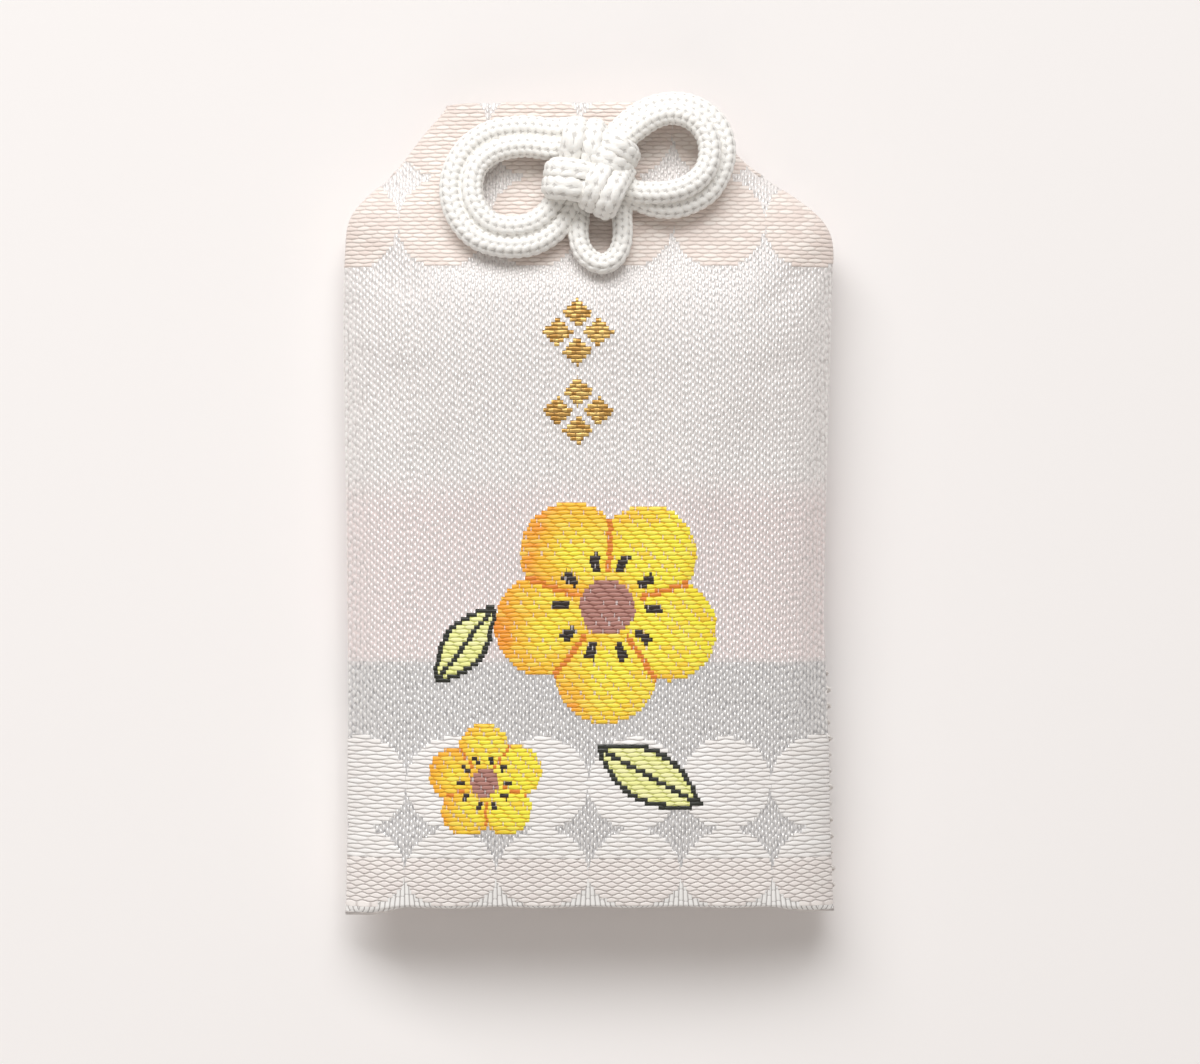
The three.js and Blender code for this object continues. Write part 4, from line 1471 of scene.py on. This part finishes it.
def make_side_seam(name, node, side, finish):
    edge = LEFT_EDGE if side < 0 else RIGHT_EDGE
    points = []
    faces = []
    for number, y in enumerate(np.arange(Y_FOLD + OVERCAST_SPACING, OVERCAST_TOP, OVERCAST_SPACING)):
        centres = overcast_stitch(number, edge_x(edge, y), y, side)
        tube = centres[:, None] + THREAD_RADIUS * rings_round(centres, THREAD_POINTS)
        faces += tube_faces(THREAD_RINGS, THREAD_POINTS, len(points))
        points += tube.reshape(-1, 3).tolist()
    seam = new_object(name, points, faces)
    smooth(seam)
    seam.data.materials.append(finish)
    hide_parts(node)
    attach(seam, "pouch")


def thread_finish():
    tones = (0.3, 0.7, shade(222, 216, 211), shade(252, 249, 246))
    material, *_ = fibre_finish("sewing thread", 0.5, 4000.0, 2.0, tones, 0.00003)
    return material


# Interfacing: a stiff sheet ironed inside each face of the cloth.
INTERFACING = 0.3
INTERFACING_INSET = 3.0
INTERFACING_FOOT = 6.0
INTERFACING_ROWS = 41
INTERFACING_COLUMNS = 31


def make_interfacing(name, node, height, inward, finish):
    points = []
    for y in np.linspace(Y_MOUTH - INTERFACING_INSET, Y_FOLD + INTERFACING_FOOT, INTERFACING_ROWS):
        left = edge_x(LEFT_EDGE, y) + INTERFACING_INSET
        right = edge_x(RIGHT_EDGE, y) - INTERFACING_INSET
        for x in np.linspace(left, right, INTERFACING_COLUMNS):
            z = height(share_across(x, y), y) + inward * (CLOTH + CLEARANCE)
            points.append((x, y, z))
    sheet = new_object(name, points, grid_faces(INTERFACING_ROWS, INTERFACING_COLUMNS))
    apply_modifier(sheet, "SOLIDIFY", thickness=INTERFACING * MM, offset=inward)
    smooth(sheet)
    sheet.data.materials.append(finish)
    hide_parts(node)
    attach(sheet, "pouch")


def interfacing_finish():
    tones = (0.3, 0.7, shade(228, 225, 216), shade(245, 243, 237))
    material, *_ = fibre_finish("non-woven interfacing", 0.9, 900.0, 6.0, tones, 0.0001)
    return material


# Wadding: a soft pad that fills the front of the pouch, under its cloth and its interfacing.
PAD_FOOT = -30.4
PAD_TOP = 17.3
PAD_HALF_WIDTH = 17.5
PAD_WAIST = 0.8
PAD_SEAT_Z = 5.85
PAD_COVER = CLOTH + INTERFACING + 2.4 * CLEARANCE
PAD_SQUARENESS = 8
PAD_LUMP = 0.12
PAD_ROWS = 49
PAD_COLUMNS = 37


def make_pad(finish):
    middle = (PAD_FOOT + PAD_TOP) / 2
    half = (PAD_TOP - PAD_FOOT) / 2
    upper = []
    lower = []
    for a in np.linspace(1, -1, PAD_ROWS):
        for b in np.linspace(-1, 1, PAD_COLUMNS):
            x = b * (PAD_HALF_WIDTH - PAD_WAIST * (1 - a * a))
            y = middle + a * (half - PAD_WAIST * (1 - b * b))
            top = front_height(share_across(x, y), y) - PAD_COVER
            core = (PAD_SEAT_Z + top) / 2
            rim = (max(0.0, 1 - a**PAD_SQUARENESS) * max(0.0, 1 - b**PAD_SQUARENESS)) ** 0.5
            lump = PAD_LUMP * math.sin(x * 0.9 + 1.3) * math.sin(y * 0.7)
            upper.append((x, y, core + (top - core + lump) * rim))
            lower.append((x, y, core + (PAD_SEAT_Z - core) * rim))
    faces = grid_faces(PAD_ROWS, PAD_COLUMNS)
    below = [tuple(corner + len(upper) for corner in reversed(face)) for face in faces]
    pad = new_object("wadding", upper + lower, faces + below)
    merged(pad, SEWN_DISTANCE * MM)
    smooth(pad)
    pad.data.materials.append(finish)
    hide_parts("wadding_pad")
    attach(pad, "pouch")


def cotton_finish():
    tones = (0.3, 0.75, shade(234, 231, 224), shade(253, 251, 247))
    material, _, shader, _ = fibre_finish("cotton wadding", 1.0, 700.0, 8.0, tones, 0.0003)
    shader.inputs["Sheen Weight"].default_value = 0.3
    return material


# Finishes of the pieces that keep their solids.
def card_finish():
    tones = (0.3, 0.7, shade(196, 184, 160), shade(216, 206, 186))
    material, tree, shader, pulp = fibre_finish("grey board", 0.95, 1500.0, 6.0, tones, 0.00005)
    fleck = cloudy(tree, object_place(tree), 5000.0).ramp(0.66, 0.72)
    flecked = mixed(tree, fleck, pulp, shade(150, 136, 112))
    tree.links.new(flecked.socket, shader.inputs["Base Color"])
    return material


def washi_finish():
    tones = (0.45, 0.7, shade(249, 246, 238), shade(232, 226, 210))
    fibres = (3000.0, 240.0, 800.0)
    material, *_ = fibre_finish("washi paper", 0.9, 1.0, 4.0, tones, 0.00006, fibres, turn=0.6)
    return material


def cypress_finish():
    tones = (0.3, 0.72, shade(232, 206, 158), shade(206, 168, 112))
    grain = (900.0, 22.0, 900.0)
    material, *_ = fibre_finish("cypress wood", 0.65, 1.0, 5.0, tones, 0.00004, grain)
    return material


def dress(node, finish):
    solid = bpy.data.objects[node]
    solid.data.materials.clear()
    solid.data.materials.append(finish)


# Floor, lights and camera, in metres. The lights point at the pouch's middle; the camera looks down on it.
FLOOR_SIZE = 3.0
FLOOR_Z = -0.0002
SOFT_BOX = (-0.36, 0.82, 0.76)
REFLECTOR = (-0.2, -0.64, 0.5)
CAMERA = (0.00092, -0.00231, 0.455)


def make_floor():
    bpy.ops.object.select_all(action="DESELECT")
    bpy.ops.mesh.primitive_plane_add(size=FLOOR_SIZE, location=(0, 0, FLOOR_Z))
    floor = bpy.context.active_object
    floor.name = "pale_floor"
    bpy.ops.object.transform_apply(location=True)
    material, _, shader = finish_of("pale floor", 0.9)
    shader.inputs["Base Color"].default_value = shade(249, 246, 245)
    shader.inputs["Specular IOR Level"].default_value = 0.1
    floor.data.materials.append(material)


def make_lamp(name, place, width, depth, watts, colour):
    lamp = bpy.data.lights.new(name, "AREA")
    lamp.shape = "RECTANGLE"
    lamp.size = width
    lamp.size_y = depth
    lamp.energy = watts
    lamp.color = colour[:3]
    holder = bpy.data.objects.new(name, lamp)
    bpy.context.collection.objects.link(holder)
    x, y, z = place
    holder.location = place
    holder.rotation_euler = (math.atan2(math.hypot(x, y), z), 0.0, math.pi - math.atan2(-x, y))


def make_studio():
    make_floor()
    make_lamp("soft box", SOFT_BOX, 1.4, 0.52, 14.1, shade(255, 255, 255))
    make_lamp("reflector", REFLECTOR, 0.9, 0.6, 1.05, shade(255, 246, 238))

    world = bpy.data.worlds.new("studio")
    world.use_nodes = True
    background = world.node_tree.nodes["Background"]
    background.inputs["Color"].default_value = shade(255, 250, 245)
    background.inputs["Strength"].default_value = 0.31
    bpy.context.scene.world = world

    camera = bpy.data.cameras.new("overhead camera")
    camera.lens = 146.3
    camera.sensor_width = 36.0
    camera.clip_start = 0.01
    holder = bpy.data.objects.new("overhead camera", camera)
    bpy.context.collection.objects.link(holder)
    holder.location = CAMERA
    bpy.context.scene.camera = holder
    bpy.context.scene.view_settings.view_transform = "Standard"


make_studio()
braid_finish = cord_finish()
make_ear(
    "left_ear_cord", LEFT_OUTER, LEFT_TURN, LEFT_INNER, LEFT_INNER_RISE,
    ["left_ear_outer", "left_ear_inner"], braid_finish,
)
make_ear(
    "right_ear_cord", RIGHT_OUTER, RIGHT_TURN, RIGHT_INNER, RIGHT_INNER_RISE,
    ["right_ear_outer", "right_ear_inner"], braid_finish,
)
make_drop_loop(braid_finish)
make_knot(braid_finish)
brocade = make_pouch()
make_corner_flap("left_shoulder_flap", "left_corner_flap", -1, brocade)
make_corner_flap("right_shoulder_flap", "right_corner_flap", 1, brocade)
sewing_thread = thread_finish()
make_side_seam("left_overcast_seam", "left_side_seam", -1, sewing_thread)
make_side_seam("right_overcast_seam", "right_side_seam", 1, sewing_thread)
stiffening = interfacing_finish()
make_interfacing("front_stiffening", "front_interfacing", front_height, -1, stiffening)
make_interfacing("back_stiffening", "back_interfacing", back_height, 1, stiffening)
make_pad(cotton_finish())
dress("stiffener_card", card_finish())
dress("charm_wrapper", washi_finish())
dress("charm_slip", cypress_finish())

bpy.context.view_layer.update()
